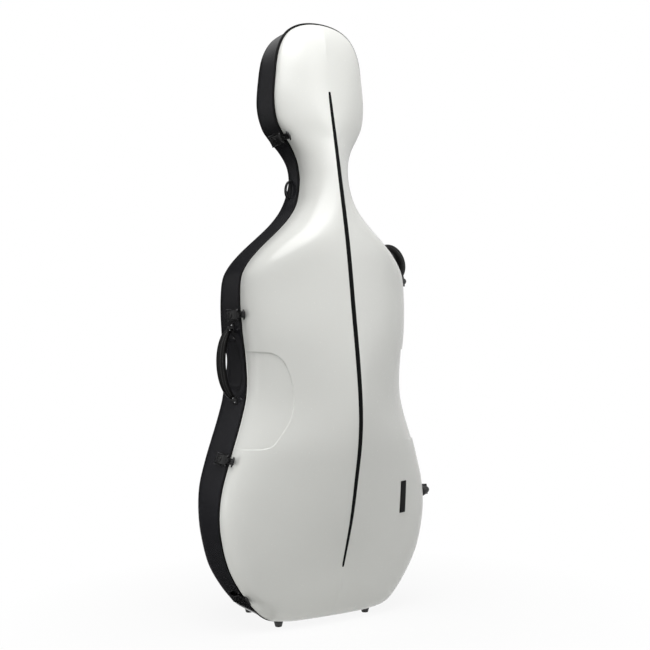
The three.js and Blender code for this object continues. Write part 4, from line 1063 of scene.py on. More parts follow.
def fill_brushed(g, given):
    """Brushed metal: fine lines in the finish and dull smears."""
    lined = g.add("ShaderNodeMapping", {"Vector": g.place(), "Scale": given["Stretch"]}).outputs[0]
    lines = g.noise(900.0, 2.0, 0.6, lined)
    smear = g.noise(60.0, 3.0)
    return {"Roughness": g.math("ADD", given["Roughness"], g.fit(smear, 0.3, 0.7, -0.05, 0.1)),
            "Normal": g.bump(lines, 0.15, 0.0003)}


def grey(level):
    return (level, level, level, 1.0)


def opaque(colour, share=1.0):
    return (*[channel * share for channel in colour], 1.0)


GROUPS = {
    "Sprayed gloss": (fill_paint, [("Colour", COLOUR, grey(0.8)), ("Shade", COLOUR, grey(0.7)),
                                   ("Ripple Scale", NUMBER, 60.0), ("Ripple Strength", NUMBER, 0.05),
                                   ("Roughness", NUMBER, 0.1)]),
    "Moulded grain": (fill_grain, [("Colour", COLOUR, grey(0.02)), ("Worn Colour", COLOUR, grey(0.04)),
                                   ("Scale", NUMBER, 900.0), ("Strength", NUMBER, 0.2),
                                   ("Roughness", NUMBER, 0.45)]),
    # The leather's crease colour is painted shade in its recesses
    "Creased leather": (fill_leather, [("Colour", COLOUR, grey(0.02)), ("Crease Colour", COLOUR, grey(0.008)),
                                       ("Scale", NUMBER, 520.0), ("Strength", NUMBER, 0.35)]),
    # Velour's lighter colour is partly random pile tone and partly painted sheen on brushed patches
    "Brushed velour": (fill_velour, [("Colour", COLOUR, grey(0.03)), ("Raised Colour", COLOUR, grey(0.08)),
                                     ("Scale", NUMBER, 1400.0)]),
    # The webbing's lighter colour is a painted highlight on its raised threads
    "Ribbed webbing": (fill_weave, [("Colour", COLOUR, grey(0.01)), ("Raised Colour", COLOUR, grey(0.04)),
                                    ("Rib Scale", NUMBER, 4200.0), ("Thread Scale", NUMBER, 4200.0)]),
    "Brushed metal": (fill_brushed, [("Stretch", VECTOR, (1.0, 1.0, 0.1)), ("Roughness", NUMBER, 0.3)]),
}

VELOUR_SHEEN = {"Roughness": 0.92, "Sheen Weight": 0.5, "Sheen Roughness": 0.4}

# Each finish: its group, the colour setting that it takes shares of (or greys without one), those
# shares, the group's own numbers, and what is set on the shader itself
FINISHES = {
    "White gloss paint": ("Sprayed gloss", "lid_colour", {"Colour": 1, "Shade": 0.975},
                          {"Ripple Scale": 55.0, "Ripple Strength": 0.02, "Roughness": 0.24},
                          {"Specular IOR Level": 0.45, "Coat Weight": 0.2, "Coat Roughness": 0.16}),
    "Black gloss paint": ("Sprayed gloss", "base_colour", {"Colour": 1, "Shade": 1.5},
                          {"Ripple Scale": 60.0, "Ripple Strength": 0.03, "Roughness": 0.15},
                          {"Specular IOR Level": 0.36}),
    "Black trim": ("Moulded grain", "base_colour", {"Colour": 0.5, "Worn Colour": 0.8},
                   {"Roughness": 0.5, "Strength": 0.08}, {"Specular IOR Level": 0.12}),
    "Black inlay": ("Sprayed gloss", None, {"Colour": 0.003, "Shade": 0.005}, {"Roughness": 0.3},
                    {"Specular IOR Level": 0.05}),
    "Rim plastic": ("Moulded grain", None, {"Colour": 0.006, "Worn Colour": 0.01},
                    {"Roughness": 0.55, "Strength": 0.1}, {"Specular IOR Level": 0.08}),
    "Seal rubber": ("Moulded grain", None, {"Colour": 0.02, "Worn Colour": 0.03}, {"Roughness": 0.7}, {}),
    "Foot rubber": ("Moulded grain", None, {"Colour": 0.014, "Worn Colour": 0.03},
                    {"Roughness": 0.5, "Strength": 0.3}, {}),
    "Black moulded plastic": ("Moulded grain", "plastic_colour", {"Colour": 1, "Worn Colour": 1.7},
                              {"Roughness": 0.36, "Strength": 0.12}, {"Specular IOR Level": 0.25}),
    "Black lacquered metal": ("Moulded grain", "plastic_colour", {"Colour": 0.8, "Worn Colour": 1.6},
                              {"Roughness": 0.26, "Strength": 0.05, "Scale": 500.0},
                              {"Specular IOR Level": 0.2, "Coat Weight": 0.12, "Coat Roughness": 0.12}),
    "Satin grey metal": ("Moulded grain", "latch_colour", {"Colour": 1, "Worn Colour": 1.8},
                         {"Roughness": 0.3, "Strength": 0.06}, {"Metallic": 0.5, "Specular IOR Level": 0.3}),
    "Dark steel": ("Brushed metal", None, {}, {"Roughness": 0.26},
                   {"Metallic": 1.0, "Base Color": (0.13, 0.13, 0.135, 1)}),
    "Bright steel": ("Brushed metal", None, {}, {"Roughness": 0.2},
                     {"Metallic": 1.0, "Base Color": (0.62, 0.63, 0.64, 1)}),
    # Black leather: its creases are darkened by painted shade
    "Black leather": ("Creased leather", "leather_colour", {"Colour": 1, "Crease Colour": 0.4}, {},
                      {"Specular IOR Level": 0.14}),
    "Waxed thread": ("Moulded grain", None, {"Colour": 0.07, "Worn Colour": 0.1}, {"Roughness": 0.5}, {}),
    # Black webbing: its raised threads carry a painted highlight
    "Black webbing": ("Ribbed webbing", None, {}, {}, {"Roughness": 0.8, "Sheen Weight": 0.2}),
    # The velours are lightened in brushed patches by painted sheen, and vary at random in their pile
    "Lining velour": ("Brushed velour", "lining_colour", {"Colour": 1, "Raised Colour": 2.4}, {}, VELOUR_SHEEN),
    "Cushion velour": ("Brushed velour", "lining_colour", {"Colour": 1.25, "Raised Colour": 3}, {},
                       VELOUR_SHEEN),
    "Holder velour": ("Brushed velour", "lining_colour", {"Colour": 0.8, "Raised Colour": 1.92}, {},
                      VELOUR_SHEEN),
}


def make_finish(name):
    """A material whose colour, sheen and relief come from one of the groups, built once."""
    found = bpy.data.materials.get(name)
    if found:
        return found
    group, setting, shares, numbers, shader = FINISHES[name]
    scene = bpy.context.scene
    if setting:
        settings = scene.case_shell if hasattr(scene.case_shell, setting) else scene.case_fittings
        shares = {label: opaque(getattr(settings, setting), share) for label, share in shares.items()}
    else:
        shares = {label: grey(level) for label, level in shares.items()}
    material = bpy.data.materials.new(name)
    material.use_nodes = True
    graph = Graph(material.node_tree)
    effect = graph.add("ShaderNodeGroup")
    effect.node_tree = shader_group(group)
    graph.feed(effect, {**shares, **numbers})
    made = {label: effect.outputs.get(label) for label in OUTPUT_KINDS}
    graph.feed(graph.shader(), {"Base Color" if label == "Colour" else label: socket
                                for label, socket in made.items() if socket})
    graph.feed(graph.shader(), shader)
    return material


# ---------------------------------------------------------------- what a user would change

def colour_setting(name, description, default):
    return FloatVectorProperty(name=name, description=description, default=default, subtype="COLOR", size=3,
                               min=0, max=1)


def length_setting(name, description, default, low, high):
    return FloatProperty(name=name, description=description, default=default, min=low, max=high, unit="LENGTH")


def power_setting(name, description, default):
    return FloatProperty(name=name, description=description, default=default, unit="POWER")


class CASE_PG_Shell(bpy.types.PropertyGroup):
    lid_colour: colour_setting("Lid colour", "Sprayed gloss of the lid", (0.71, 0.715, 0.685))
    base_colour: colour_setting("Base colour", "Sprayed gloss of the base", (0.012, 0.012, 0.014))
    lining_colour: colour_setting("Lining colour", "Velour of linings and cushions", (0.03, 0.031, 0.034))
    spacing: length_setting("Mesh spacing", "Distance between rows of the shells along the outline",
                            0.0068, 0.002, 0.05)
    fine_spacing: length_setting("Spacing at the waist", "Distance between rows beside the grip hollows",
                                 0.005, 0.001, 0.05)
    crease_width: length_setting("Crease width", "Width of the soft step round a grip hollow",
                                 0.0021, 0.001, 0.02)
    levels: IntProperty(name="Levels", description="Rows of a shell from its rim to its spine", default=84,
                        min=12, max=200)


class CASE_PG_Fittings(bpy.types.PropertyGroup):
    plastic_colour: colour_setting("Black", "Black of the moulded fittings", (0.012, 0.012, 0.0125))
    latch_colour: colour_setting("Latch colour", "Satin metal of the latch bodies", (0.022, 0.0225, 0.024))
    leather_colour: colour_setting("Leather colour", "Covering of the handle grips", (0.009, 0.0088, 0.0085))
    stitch_length: length_setting("Stitch length", "Length of one stitch on a grip", 0.0028, 0.001, 0.01)
    stitch_spacing: length_setting("Stitch spacing", "Distance from one stitch to the next",
                                   0.0038, 0.001, 0.02)


class CASE_PG_Stage(bpy.types.PropertyGroup):
    key_power: power_setting("Key power", "Power of the large soft lamp above", 52.0)
    left_power: power_setting("Left power", "Power of the low lamp on the latch side", 1.0)
    right_power: power_setting("Right power", "Power of the lamp on the hinge side", 10.0)
    sky_level: FloatProperty(name="Sky level", description="Light from all around", default=0.065, min=0, max=2)
    floor_colour: colour_setting("Floor colour", "Pale floor under the case", (0.82, 0.82, 0.81))
    floor_radius: length_setting("Floor radius", "How far the floor reaches", 6.0, 1.0, 50.0)


# ---------------------------------------------------------------- operators

class CASE_OT_stage(bpy.types.Operator):
    """Pale floor, soft lamps and a camera at the photograph's angle"""
    bl_idname = "case.stage"
    bl_label = "Stage and camera"

    def execute(self, context):
        stage = context.scene.case_stage
        context.scene.view_settings.view_transform = "Standard"
        self.add_floor(stage)
        self.add_sky(context, stage)
        self.add_flag()
        for name, place, target, size, spread, power, share in LAMPS:
            lamp = self.add_lamp(name, Vector(place), Vector(target), size, spread)
            lamp.data.energy = getattr(stage, power) * share
            # The low lamp only brightens the lid's edge: in a reflection it would be a hard white patch
            lamp.visible_glossy = name != "Left side"
        self.add_camera(context)
        return {"FINISHED"}

    def new_material(self, name):
        material = bpy.data.materials.new(name)
        material.use_nodes = True
        return material, Graph(material.node_tree)

    def add_floor(self, stage):
        bm = bmesh.new()
        bmesh.ops.create_circle(bm, cap_ends=True, radius=stage.floor_radius, segments=96)
        mesh = bpy.data.meshes.new("Floor")
        bm.to_mesh(mesh)
        bm.free()
        material, g = self.new_material("Pale floor")
        g.feed(g.shader(), {"Base Color": opaque(stage.floor_colour), "Roughness": 0.9,
                            "Specular IOR Level": 0.1})
        glow = g.add("ShaderNodeEmission", {"Color": grey(1), "Strength": 1.0})
        path = g.add("ShaderNodeLightPath").outputs
        length = g.add("ShaderNodeVectorMath", {0: g.place()}, operation="LENGTH").outputs["Value"]
        white = g.fit(length, *FLOOR_WHITE)
        share = g.math("MULTIPLY", g.math("MAXIMUM", path["Is Camera Ray"], path["Is Glossy Ray"]), white)
        both = g.add("ShaderNodeMixShader", {0: share, 1: g.shader().outputs[0], 2: glow.outputs[0]})
        g.feed(g.tree.nodes["Material Output"], {"Surface": both.outputs[0]})
        mesh.materials.append(material)
        floor = add_object("Floor", mesh)

    def add_flag(self):
        """A dark card behind the case that only reflections see, so that black gloss stays black."""
        left, right, back, top, inner, front, lift = CARD.values()
        mesh = bpy.data.meshes.new("Flag")
        mesh.from_pydata([(left, back, lift), (right, back, lift), (right, back, top), (left, back, top),
                          (left, front, lift), (inner, front, lift), (inner, back, lift)], [],
                         [(0, 6, 1, 2, 3), (0, 4, 5, 6)])
        material, g = self.new_material("Dark card")
        spot = g.add("ShaderNodeSeparateXYZ", {0: g.place()}).outputs
        # It is lighter towards the latch side and its top
        level = g.fit(spot["X"], *CARD_LEVEL_ASIDE)
        level = g.math("MULTIPLY", level, g.fit(spot["Z"], *CARD_LEVEL_UP))
        colour = g.add("ShaderNodeCombineXYZ", {0: level, 1: level, 2: level}).outputs[0]
        # It fades away towards both sides and its top
        aside = g.math("ABSOLUTE", g.math("SUBTRACT", spot["X"], CARD_MIDDLE))
        shown = g.math("MULTIPLY", g.fit(aside, *CARD_FADE_ASIDE), g.fit(spot["Z"], *CARD_FADE_UP))
        g.feed(g.shader(), {"Base Color": colour, "Alpha": shown, "Roughness": 1.0})
        mesh.materials.append(material)
        flag = add_object("Flag", mesh)
        flag.visible_camera = flag.visible_diffuse = flag.visible_shadow = flag.visible_transmission = False

    def add_sky(self, context, stage):
        world = bpy.data.worlds.new("Soft room")
        world.use_nodes = True
        g = Graph(world.node_tree)
        path = g.add("ShaderNodeLightPath").outputs
        seen = g.math("MAXIMUM", path["Is Glossy Ray"], path["Is Transmission Ray"])
        seen = g.math("MAXIMUM", path["Is Camera Ray"], seen)
        g.feed(world.node_tree.nodes["Background"], {"Color": grey(1),
                                                     "Strength": g.fit(seen, 0.0, 1.0, stage.sky_level, 1.0)})
        context.scene.world = world

    def add_lamp(self, name, place, target, size, spread):
        data = bpy.data.lights.new(name, "AREA")
        data.shape = "DISK"
        data.size = size
        data.spread = math.radians(spread)
        lamp = add_object(name, data)
        lamp.location = place
        lamp.rotation_euler = (target - place).to_track_quat("-Z", "Y").to_euler()
        return lamp

    def add_camera(self, context):
        c = CAMERA
        turn, lift, tilt = [math.radians(c[key]) for key in ("turn", "look_up", "tilt")]
        level = Vector((math.sin(turn), math.cos(turn), 0))
        right = Vector((math.cos(turn), -math.sin(turn), 0))
        forward = level * math.cos(lift) + Vector((0, 0, math.sin(lift)))
        up = right.cross(forward)
        tilted_up = up * math.cos(tilt) + right * math.sin(tilt)
        tilted_right = right * math.cos(tilt) - up * math.sin(tilt)
        place = right * c["aside"] - level * c["distance"] + Vector((0, 0, c["height"]))
        data = bpy.data.cameras.new("Camera")
        data.sensor_width = c["sensor"]
        data.lens = c["sensor"] * c["focal"] / c["frame"]
        data.clip_end = 50
        camera = add_object("Camera", data)
        camera.matrix_world = axes(tilted_right, tilted_up, -forward, ORIGIN + place * MM)
        context.scene.camera = camera


class CASE_OT_shells(bpy.types.Operator):
    """Gloss lid and base, with soft grip hollows and hand dents"""
    bl_idname = "case.shells"
    bl_label = "Lid and base shells"

    def execute(self, context):
        shell = context.scene.case_shell
        stations = spaced_stations(shell.spacing / MM, shell.fine_spacing / MM, FINE_SPAN)
        make_piece("lid_skin", [self.lid_part(stations, shell)], ["White gloss paint"], "lid", ["lid_shell"],
                   "lid_gloss", sharp=60)
        piece = make_piece("base_skin", [self.base_part(stations, shell)], ["Black gloss paint", "Black trim"],
                           "base", ["base_shell"], "base_gloss", sharp=60)
        for face in piece.data.polygons:
            face.material_index = int(face.center.y < ORIGIN.y + TRIM_DEPTH * MM)
        return {"FINISHED"}

    def lid_part(self, stations, shell):
        skins = []
        for inset, levels in ((0, shell.levels), (SHELL_THICKNESS, shell.levels // 3)):
            out, rise = lid_levels(stations, inset, levels)
            skin = lid_surface(stations, inset, out, rise)
            skin[0] = stations.row(inset, -RIM_HALF)
            skins.append(skin)
        outer, inner = skins
        edge = [stations.row(mix(SHELL_THICKNESS, 0, share), -RIM_HALF - lift) for share, lift in LID_EDGE]
        return self.creased(mirrored_body([*inner[:0:-1], *edge, *outer[1:]]), shell.crease_width / MM)

    def creased(self, part, width):
        """Cuts the outer skin along the outline of each grip hollow, then sinks what lies inside it."""
        bm = bmesh.new()
        corners = [bm.verts.new(c) for c in part.corners]
        for face in part.faces:
            bm.faces.new([corners[i] for i in face])
        bm.normal_update()
        outer = BVHTree.FromBMesh(bm)
        x, y, z = np.abs(part.corners[:, 0]), part.corners[:, 1], part.corners[:, 2]
        near = (z > GRIP_BOTTOM - GRIP_MARGIN) & (z < GRIP_TOP + GRIP_MARGIN)
        near &= (y < 0) & (x > GRIP_INNER - GRIP_MARGIN)
        inside = {}
        for i, depth in zip(np.flatnonzero(near), patch_depth(x[near], z[near], grip_line())):
            v = corners[i]
            aside = v.normal.x * v.co.x > 0 or abs(v.normal.x) < GRIP_FACING_ASIDE
            faces_out = v.normal.y < GRIP_FACING_BACK and aside
            if faces_out and outer.ray_cast(v.co + v.normal * 0.5, v.normal)[0] is None:
                inside[v] = depth
        for level in (-CREASE_ROUND, 0, width, width + CREASE_ROUND):
            self.cut(inside, level)
        bm.normal_update()
        sunk = {}
        for v, depth in inside.items():
            share = mix(GRIP_RIM_SHARE, 1, smoothstep((-v.co.y - RIM_HALF) / GRIP_RIM_FADE))
            sunk[v] = v.co - v.normal * (share * GRIP_DEPTH * min(max(depth / width, 0), 1))
        for v, place in sunk.items():
            v.co = place
        return from_bmesh(bm)

    def cut(self, inside, level):
        """Adds the edges along which a skin lies at one level inside the outline."""
        cuts = {}
        for e in {e for v in inside for e in v.link_edges}:
            a, b = e.verts
            if a in inside and b in inside and (inside[a] - level) * (inside[b] - level) < 0:
                cuts[e] = (a, (level - inside[a]) / (inside[b] - inside[a]))
        fresh = set()
        for e, (start, share) in cuts.items():
            v = bmesh.utils.edge_split(e, start, share)[1]
            inside[v] = level
            fresh.add(v)
        for face in {f for v in fresh for f in v.link_faces}:
            ends = [v for v in face.verts if v in fresh]
            if len(ends) == 2:
                bmesh.utils.face_split(face, *ends)

    def base_part(self, stations, shell):
        dent = (hand_line(), HAND_DEPTH, HAND_MARGIN, HAND_SLOPE)
        skins = []
        for inset, levels in ((0, shell.levels), (SHELL_THICKNESS, shell.levels // 3)):
            trim = [stations.row(inset, y) for y in (RIM_HALF + BASE_EDGE_LIFT, (RIM_HALF + TRIM_DEPTH) / 2)]
            rows = dented_rows(stations, inset, TRIM_DEPTH, shell.levels // 3, levels, dent)
            skins.append(np.concatenate([trim, rows]))
        outer, inner = skins
        edge = [stations.row(mix(SHELL_THICKNESS, 0, share), RIM_HALF + lift) for share, lift in BASE_EDGE]
        return mirrored_body([*inner[::-1], *edge, *outer])


class CASE_OT_rim(bpy.types.Operator):
    """Frame between the shells, with its tongue and a soft seal"""
    bl_idname = "case.rim"
    bl_label = "Rim frame"

    def execute(self, context):
        shell = context.scene.case_shell
        stations = spaced_stations(shell.spacing / MM, shell.spacing / MM, (0, 1))
        flange, tall, lip, corner = RIM_HALF - CLEARANCE, RIM_HALF + TONGUE_HEIGHT, -SEAL_LIP, RIM_CORNER
        near, far = LINING_INSET, LINING_INSET + TONGUE_THICKNESS
        aside, up = RIM_CORNER_ROUND
        profile = [(lip + corner, -flange), (lip + aside, -flange + up), (lip, -flange + corner),
                   (lip, flange - corner), (lip + aside, flange - up), (lip + corner, flange),
                   (near, flange), (near, tall - corner), (near + corner, tall), (far - corner, tall),
                   (far, tall - corner), (far, corner - tall), (far - corner, -tall), (near + corner, -tall),
                   (near, corner - tall), (near, -flange)]
        grow = (HEAD_LIP - SEAL_LIP) * smoothstep((stations.z - HEIGHTS["head"]) / HEAD_LIP_RISE)
        ring = [stations.row(inset - (grow if inset < near else 0), y) for inset, y in profile]
        make_piece("rim_frame_skin", [mirrored_body(ring, loop=True)], ["Rim plastic"], "base", ["rim_frame"],
                   "rim_trim", sharp=50)
        bead = [stations.row((near + far) / 2 + SEAL_WIDTH * math.cos(t), SEAL_HEIGHT * math.sin(t) - tall)
                for t in round_turns(8)]
        make_piece("rim_seal", [mirrored_body(bead, loop=True)], ["Seal rubber"], "base", slot="rim_trim")
        return {"FINISHED"}


class CASE_OT_inlays(bpy.types.Operator):
    """Tapering stripe along the ridge and a plain plate, both laid on the lid"""
    bl_idname = "case.inlays"
    bl_label = "Stripe and plate"

    def execute(self, context):
        surface = surface_of("lid_skin", 1)
        make_piece("lid_stripe_inlay", [self.stripe(surface)], ["Black inlay"], "lid", ["lid_stripe"],
                   "stripe_black", sharp=60)
        make_piece("lid_plate_skin", [self.plate(surface)], ["Black inlay"], "lid", ["lid_plate"],
                   "plate_black", sharp=40)
        return {"FINISHED"}

    def stripe(self, surface):
        rings = []
        for up, share in open_line(STRIPE_SHARES, 24):
            half = max(share, STRIPE_LEAST_SHARE) * STRIPE_WIDTH / 2
            z = mix(STRIPE_BOTTOM, STRIPE_TOP, up)
            rings.append([(across * half, surface(across * half, z) - lift, z)
                          for across, lift in STRIPE_SECTION])
        return swept(rings)

    def plate(self, surface):
        half_x, half_z = PLATE["width"] / 2, PLATE["height"] / 2

        def laid(line, lift, share=1):
            spots = [(PLATE["x"] + x * share, PLATE["z"] + z * share) for x, z in line]
            return [(x, surface(x, z) - lift, z) for x, z in spots]

        rows = []
        for inward, lift in PLATE_EDGE:
            across, tall = half_x - inward, half_z - inward
            outline = rounded(box_line(-across, across, -tall, tall), PLATE["corner"], 4)
            line = []
            for here, after in zip(outline, [*outline[1:], outline[0]]):
                steps = 12 if math.dist(here, after) > PLATE["step"] else 1
                line += [(mix(here[0], after[0], k / steps), mix(here[1], after[1], k / steps))
                         for k in range(steps)]
            rows.append(laid(line, lift))
        # The flat top follows in ever smaller rings of the last line
        return swept(rows + [laid(line, lift, share) for share in PLATE_TOP])


class CASE_OT_linings(bpy.types.Operator):
    """Padded velour linings inside both shells"""
    bl_idname = "case.linings"
    bl_label = "Linings"

    def execute(self, context):
        shell = context.scene.case_shell
        stations = spaced_stations(LINING_COARSENESS * shell.spacing / MM, shell.spacing / MM, LINING_FINE_SPAN)
        for body, rows, up in (("lid", self.lid_rows, 1), ("base", self.base_rows, -1)):
            back, front = [rows(stations, shell.levels // 2, *face) for face in LINING_FACES]
            back = back[::-1]
            # Rounded edge between the first rows of both faces
            crown = [mix(back[-1], front[0], share) + np.array((0, up * lift, 0))
                     for share, lift in LINING_EDGE]
            lining = make_piece(f"{body}_lining_velour", [mirrored_body([*back, *crown, *front])],
                                ["Lining velour"], body, [f"{body}_lining"], "lining_velour", sharp=0)
        return {"FINISHED"}

    def lid_rows(self, stations, levels, inset, setback, *_):
        out, rise = lid_levels(stations, inset, levels, start=LINING_START + setback)
        return lid_surface(stations, inset, out, rise)

    def base_rows(self, stations, levels, inset, setback, slope):
        dent = (hand_line(SHELL_THICKNESS), HAND_DEPTH + CLEARANCE, HAND_LINING_MARGIN, slope)
        return dented_rows(stations, inset, LINING_START + setback, levels // 2, levels, dent)


class CASE_OT_cushions(bpy.types.Operator):
    """Stuffed velour cushions that hold the cello, swollen by a short cloth simulation"""
    bl_idname = "case.cushions"
    bl_label = "Cushions"

    def execute(self, context):
        for node, fill in CUSHIONS.items():
            piece = self.swollen(context, node)
            piece.data.materials.clear()
            piece.data.materials.append(make_finish("Cushion velour"))
            piece.data.shade_smooth()
            settle(piece, "base", [node], "pad_velour")
        return {"FINISHED"}

    def swollen(self, context, node):
        mesh = frame["nodes"][node].data.copy()
        mesh.name = f"{node}_cushion"
        bm = bmesh.new()
        bm.from_mesh(mesh)
        bmesh.ops.remove_doubles(bm, verts=bm.verts[:], dist=1e-5)
        bmesh.ops.recalc_face_normals(bm, faces=bm.faces[:])
        bm.to_mesh(mesh)
        bm.free()
        piece = add_object(f"{node}_cushion", mesh)
        remesh = piece.modifiers.new("Voxels", "REMESH")
        remesh.mode = "VOXEL"
        remesh.voxel_size = CUSHION_VOXEL
        shrink = piece.modifiers.new("Shrink", "DISPLACE")
        shrink.strength = -CUSHION_SHRINK
        shrink.mid_level = 0
        ease = piece.modifiers.new("Ease", "SMOOTH")
        ease.iterations = 8
        keep_result(context, piece)
        rest = [v.co.copy() for v in piece.data.vertices]
        cloth = piece.modifiers.new("Stuffing", "CLOTH")
        cloth.settings.use_pressure = True
        cloth.settings.uniform_pressure_force = CUSHION_PRESSURE
        cloth.settings.effector_weights.gravity = 0
        cloth.settings.quality = 6
        for step in range(CUSHION_STEPS):
            context.scene.frame_set(step + 1)
        keep_result(context, piece)
        context.scene.frame_set(1)
        for vertex, start in zip(piece.data.vertices, rest):
            move = vertex.co - start
            if move.length > CUSHION_SWELL:
                vertex.co = start + move.normalized() * CUSHION_SWELL
        smooth = piece.modifiers.new("Round", "SUBSURF")
        smooth.levels = smooth.render_levels = 1
        keep_result(context, piece)
        return piece


def keep_result(context, piece):
    """Turns what the modifiers make into the piece's own mesh."""
    made = bpy.data.meshes.new_from_object(piece.evaluated_get(context.evaluated_depsgraph_get()))
    made.name = piece.name
    old = piece.data
    piece.modifiers.clear()
    piece.data = made
    bpy.data.meshes.remove(old)


def latch_frame(name):
    """Local X out of the wall, Y back and Z along it, from the joint that the lever turns on."""
    joint = JOINTS[f"latch_{name}_open"]
    out = BACK.cross(Vector(joint["axis"]).normalized())
    return placed(in_case(joint["pos_m"]) - out * LATCH_PIVOT_LIFT - BACK * LATCH_PIVOT_DEPTH, out)


class CASE_OT_latches(bpy.types.Operator):
    """Four draw latches: body and pin on the base, lever with a flared tip, stud on the lid"""
    bl_idname = "case.latches"
    bl_label = "Latches"

    def execute(self, context):
        black, grey_metal, steel = "Black lacquered metal", "Satin grey metal", "Dark steel"
        for name in LATCHES:
            for piece, parts, finishes, body, node, slot in (
                    ("body", self.body(), [grey_metal, black, steel], "base", "plate", "latch_body_metal"),
                    ("axle", self.axle(), [steel], "base", "pin", "pin_steel"),
                    ("arm", self.lever(), [black, grey_metal], f"latch_{name}", "lever", "latch_black_metal"),
                    ("keeper", self.stud(), [black], "lid", "stud", "latch_black_metal")):
                make_piece(f"latch_{piece}_{name}", parts, finishes, body, [f"latch_{node}_{name}"], slot,
                           at=latch_frame(name))
        return {"FINISHED"}

    def body(self):
        plate = slab((MOUNT_SPAN, (PLATE_NEAR, PLATE_FAR), (-LATCH_EAR_FAR - 1, LATCH_EAR_FAR + 1)), 3.5, 0.6)
        cheek = rounded(LATCH_CHEEK, 2.5, 5)
        ears = [prism(cheek, span, 0.45)
                for span in ((-LATCH_EAR_FAR, -LATCH_EAR_NEAR), (LATCH_EAR_NEAR, LATCH_EAR_FAR))]
        bridge = prism(rounded(LATCH_BRIDGE, 0.8, 3), (-LATCH_EAR_NEAR, LATCH_EAR_NEAR), 0)
        screws = [wall_screw(LATCH_SCREWS["radius"], MOUNT_SPAN[1] - SCREW_SEAT, LATCH_SCREWS["back"],
                             side * LATCH_SCREWS["aside"], 2) for side in (-1, 1)]
        return [plate.dressed(1), *ears, bridge, *screws]

    def axle(self):
        return headed_rod(LATCH_PIN, LATCH_EAR_FAR, LATCH_PIN_HEAD, LATCH_PIN_OVERLAP, LATCH_PIN_HEIGHT,
                          (LATCH_PIVOT_LIFT, LATCH_PIVOT_DEPTH))

    def lever(self):
        whole = (-LATCH_HALF, LATCH_HALF)
        blade = prism(rounded(LATCH_ARM, 1.6, 4), whole, 0.9, 3)
        barrel = rod(LATCH_BARREL, whole, (LATCH_PIVOT_LIFT, LATCH_PIVOT_DEPTH), 0.7, 36)
        hood = prism(rounded(LATCH_HOOD, 1.2, 4), (-LATCH_HOOD_HALF, LATCH_HOOD_HALF), 0.7)
        outer, inner = rounded(box_line(*NOSE_OUTER), 1.5, 6), rounded(box_line(*NOSE_INNER), 1.0, 6)
        nose = framed_hole(outer, inner, NOSE_SPAN, NOSE_EDGE).moved(UP_IS_X)
        return [blade, barrel.dressed(1), hood.dressed(1), self.ridge(), nose, self.tip()]

    def ridge(self, steps=8):
        """A thin closed bar raised round the middle of the lever."""
        r = LATCH_RIDGE
        centres = [Vector((r["lift"] - r["sag"] * abs(math.cos(t)), r["back"] + r["reach"] * math.cos(t),
                           r["half"] * math.sin(t))) for t in round_turns(28)]
        rings = []
        for before, centre, after in zip([centres[-1], *centres], centres, [*centres[1:], centres[0]]):
            way = (after - before).normalized()
            side = way.cross(Vector((1, 0, 0))).normalized()
            up = side.cross(way)
            rings.append([centre + side * r["radius"] * math.cos(t) + up * r["radius"] * math.sin(t)
                          for t in round_turns(steps)])
        return swept(rings, closed=True)

    def tip(self):
        """The flared tip: a bar whose ends curve back towards the rim."""
        tip = LATCH_TIP
        rings = []
        for share in np.linspace(-1, 1, 25):
            thin = mix(1.0, tip["end"], abs(share) ** 3)
            width = tip["width"] * thin
            y = tip["back"] + tip["curl"] * share ** 2
            section = rounded(box_line(-width, width, -tip["depth"], tip["depth"]), 0.8, 3)
            rings.append([(tip["lift"] + u, y + v * thin, tip["half"] * share) for u, v in section])
        return swept(rings)

    def stud(self):
        lift, back, half = STUD_FLANGE.values()
        depths = (-STUD_DEPTH - back, -STUD_DEPTH + back)
        flange = slab(((MOUNT_SPAN[0], lift), depths, (-half, half)), 2.5, 0.4)
        return [prism(rounded(STUD_HOOK, 0.6, 3), (-STUD_HALF, STUD_HALF), 0.4), flange]


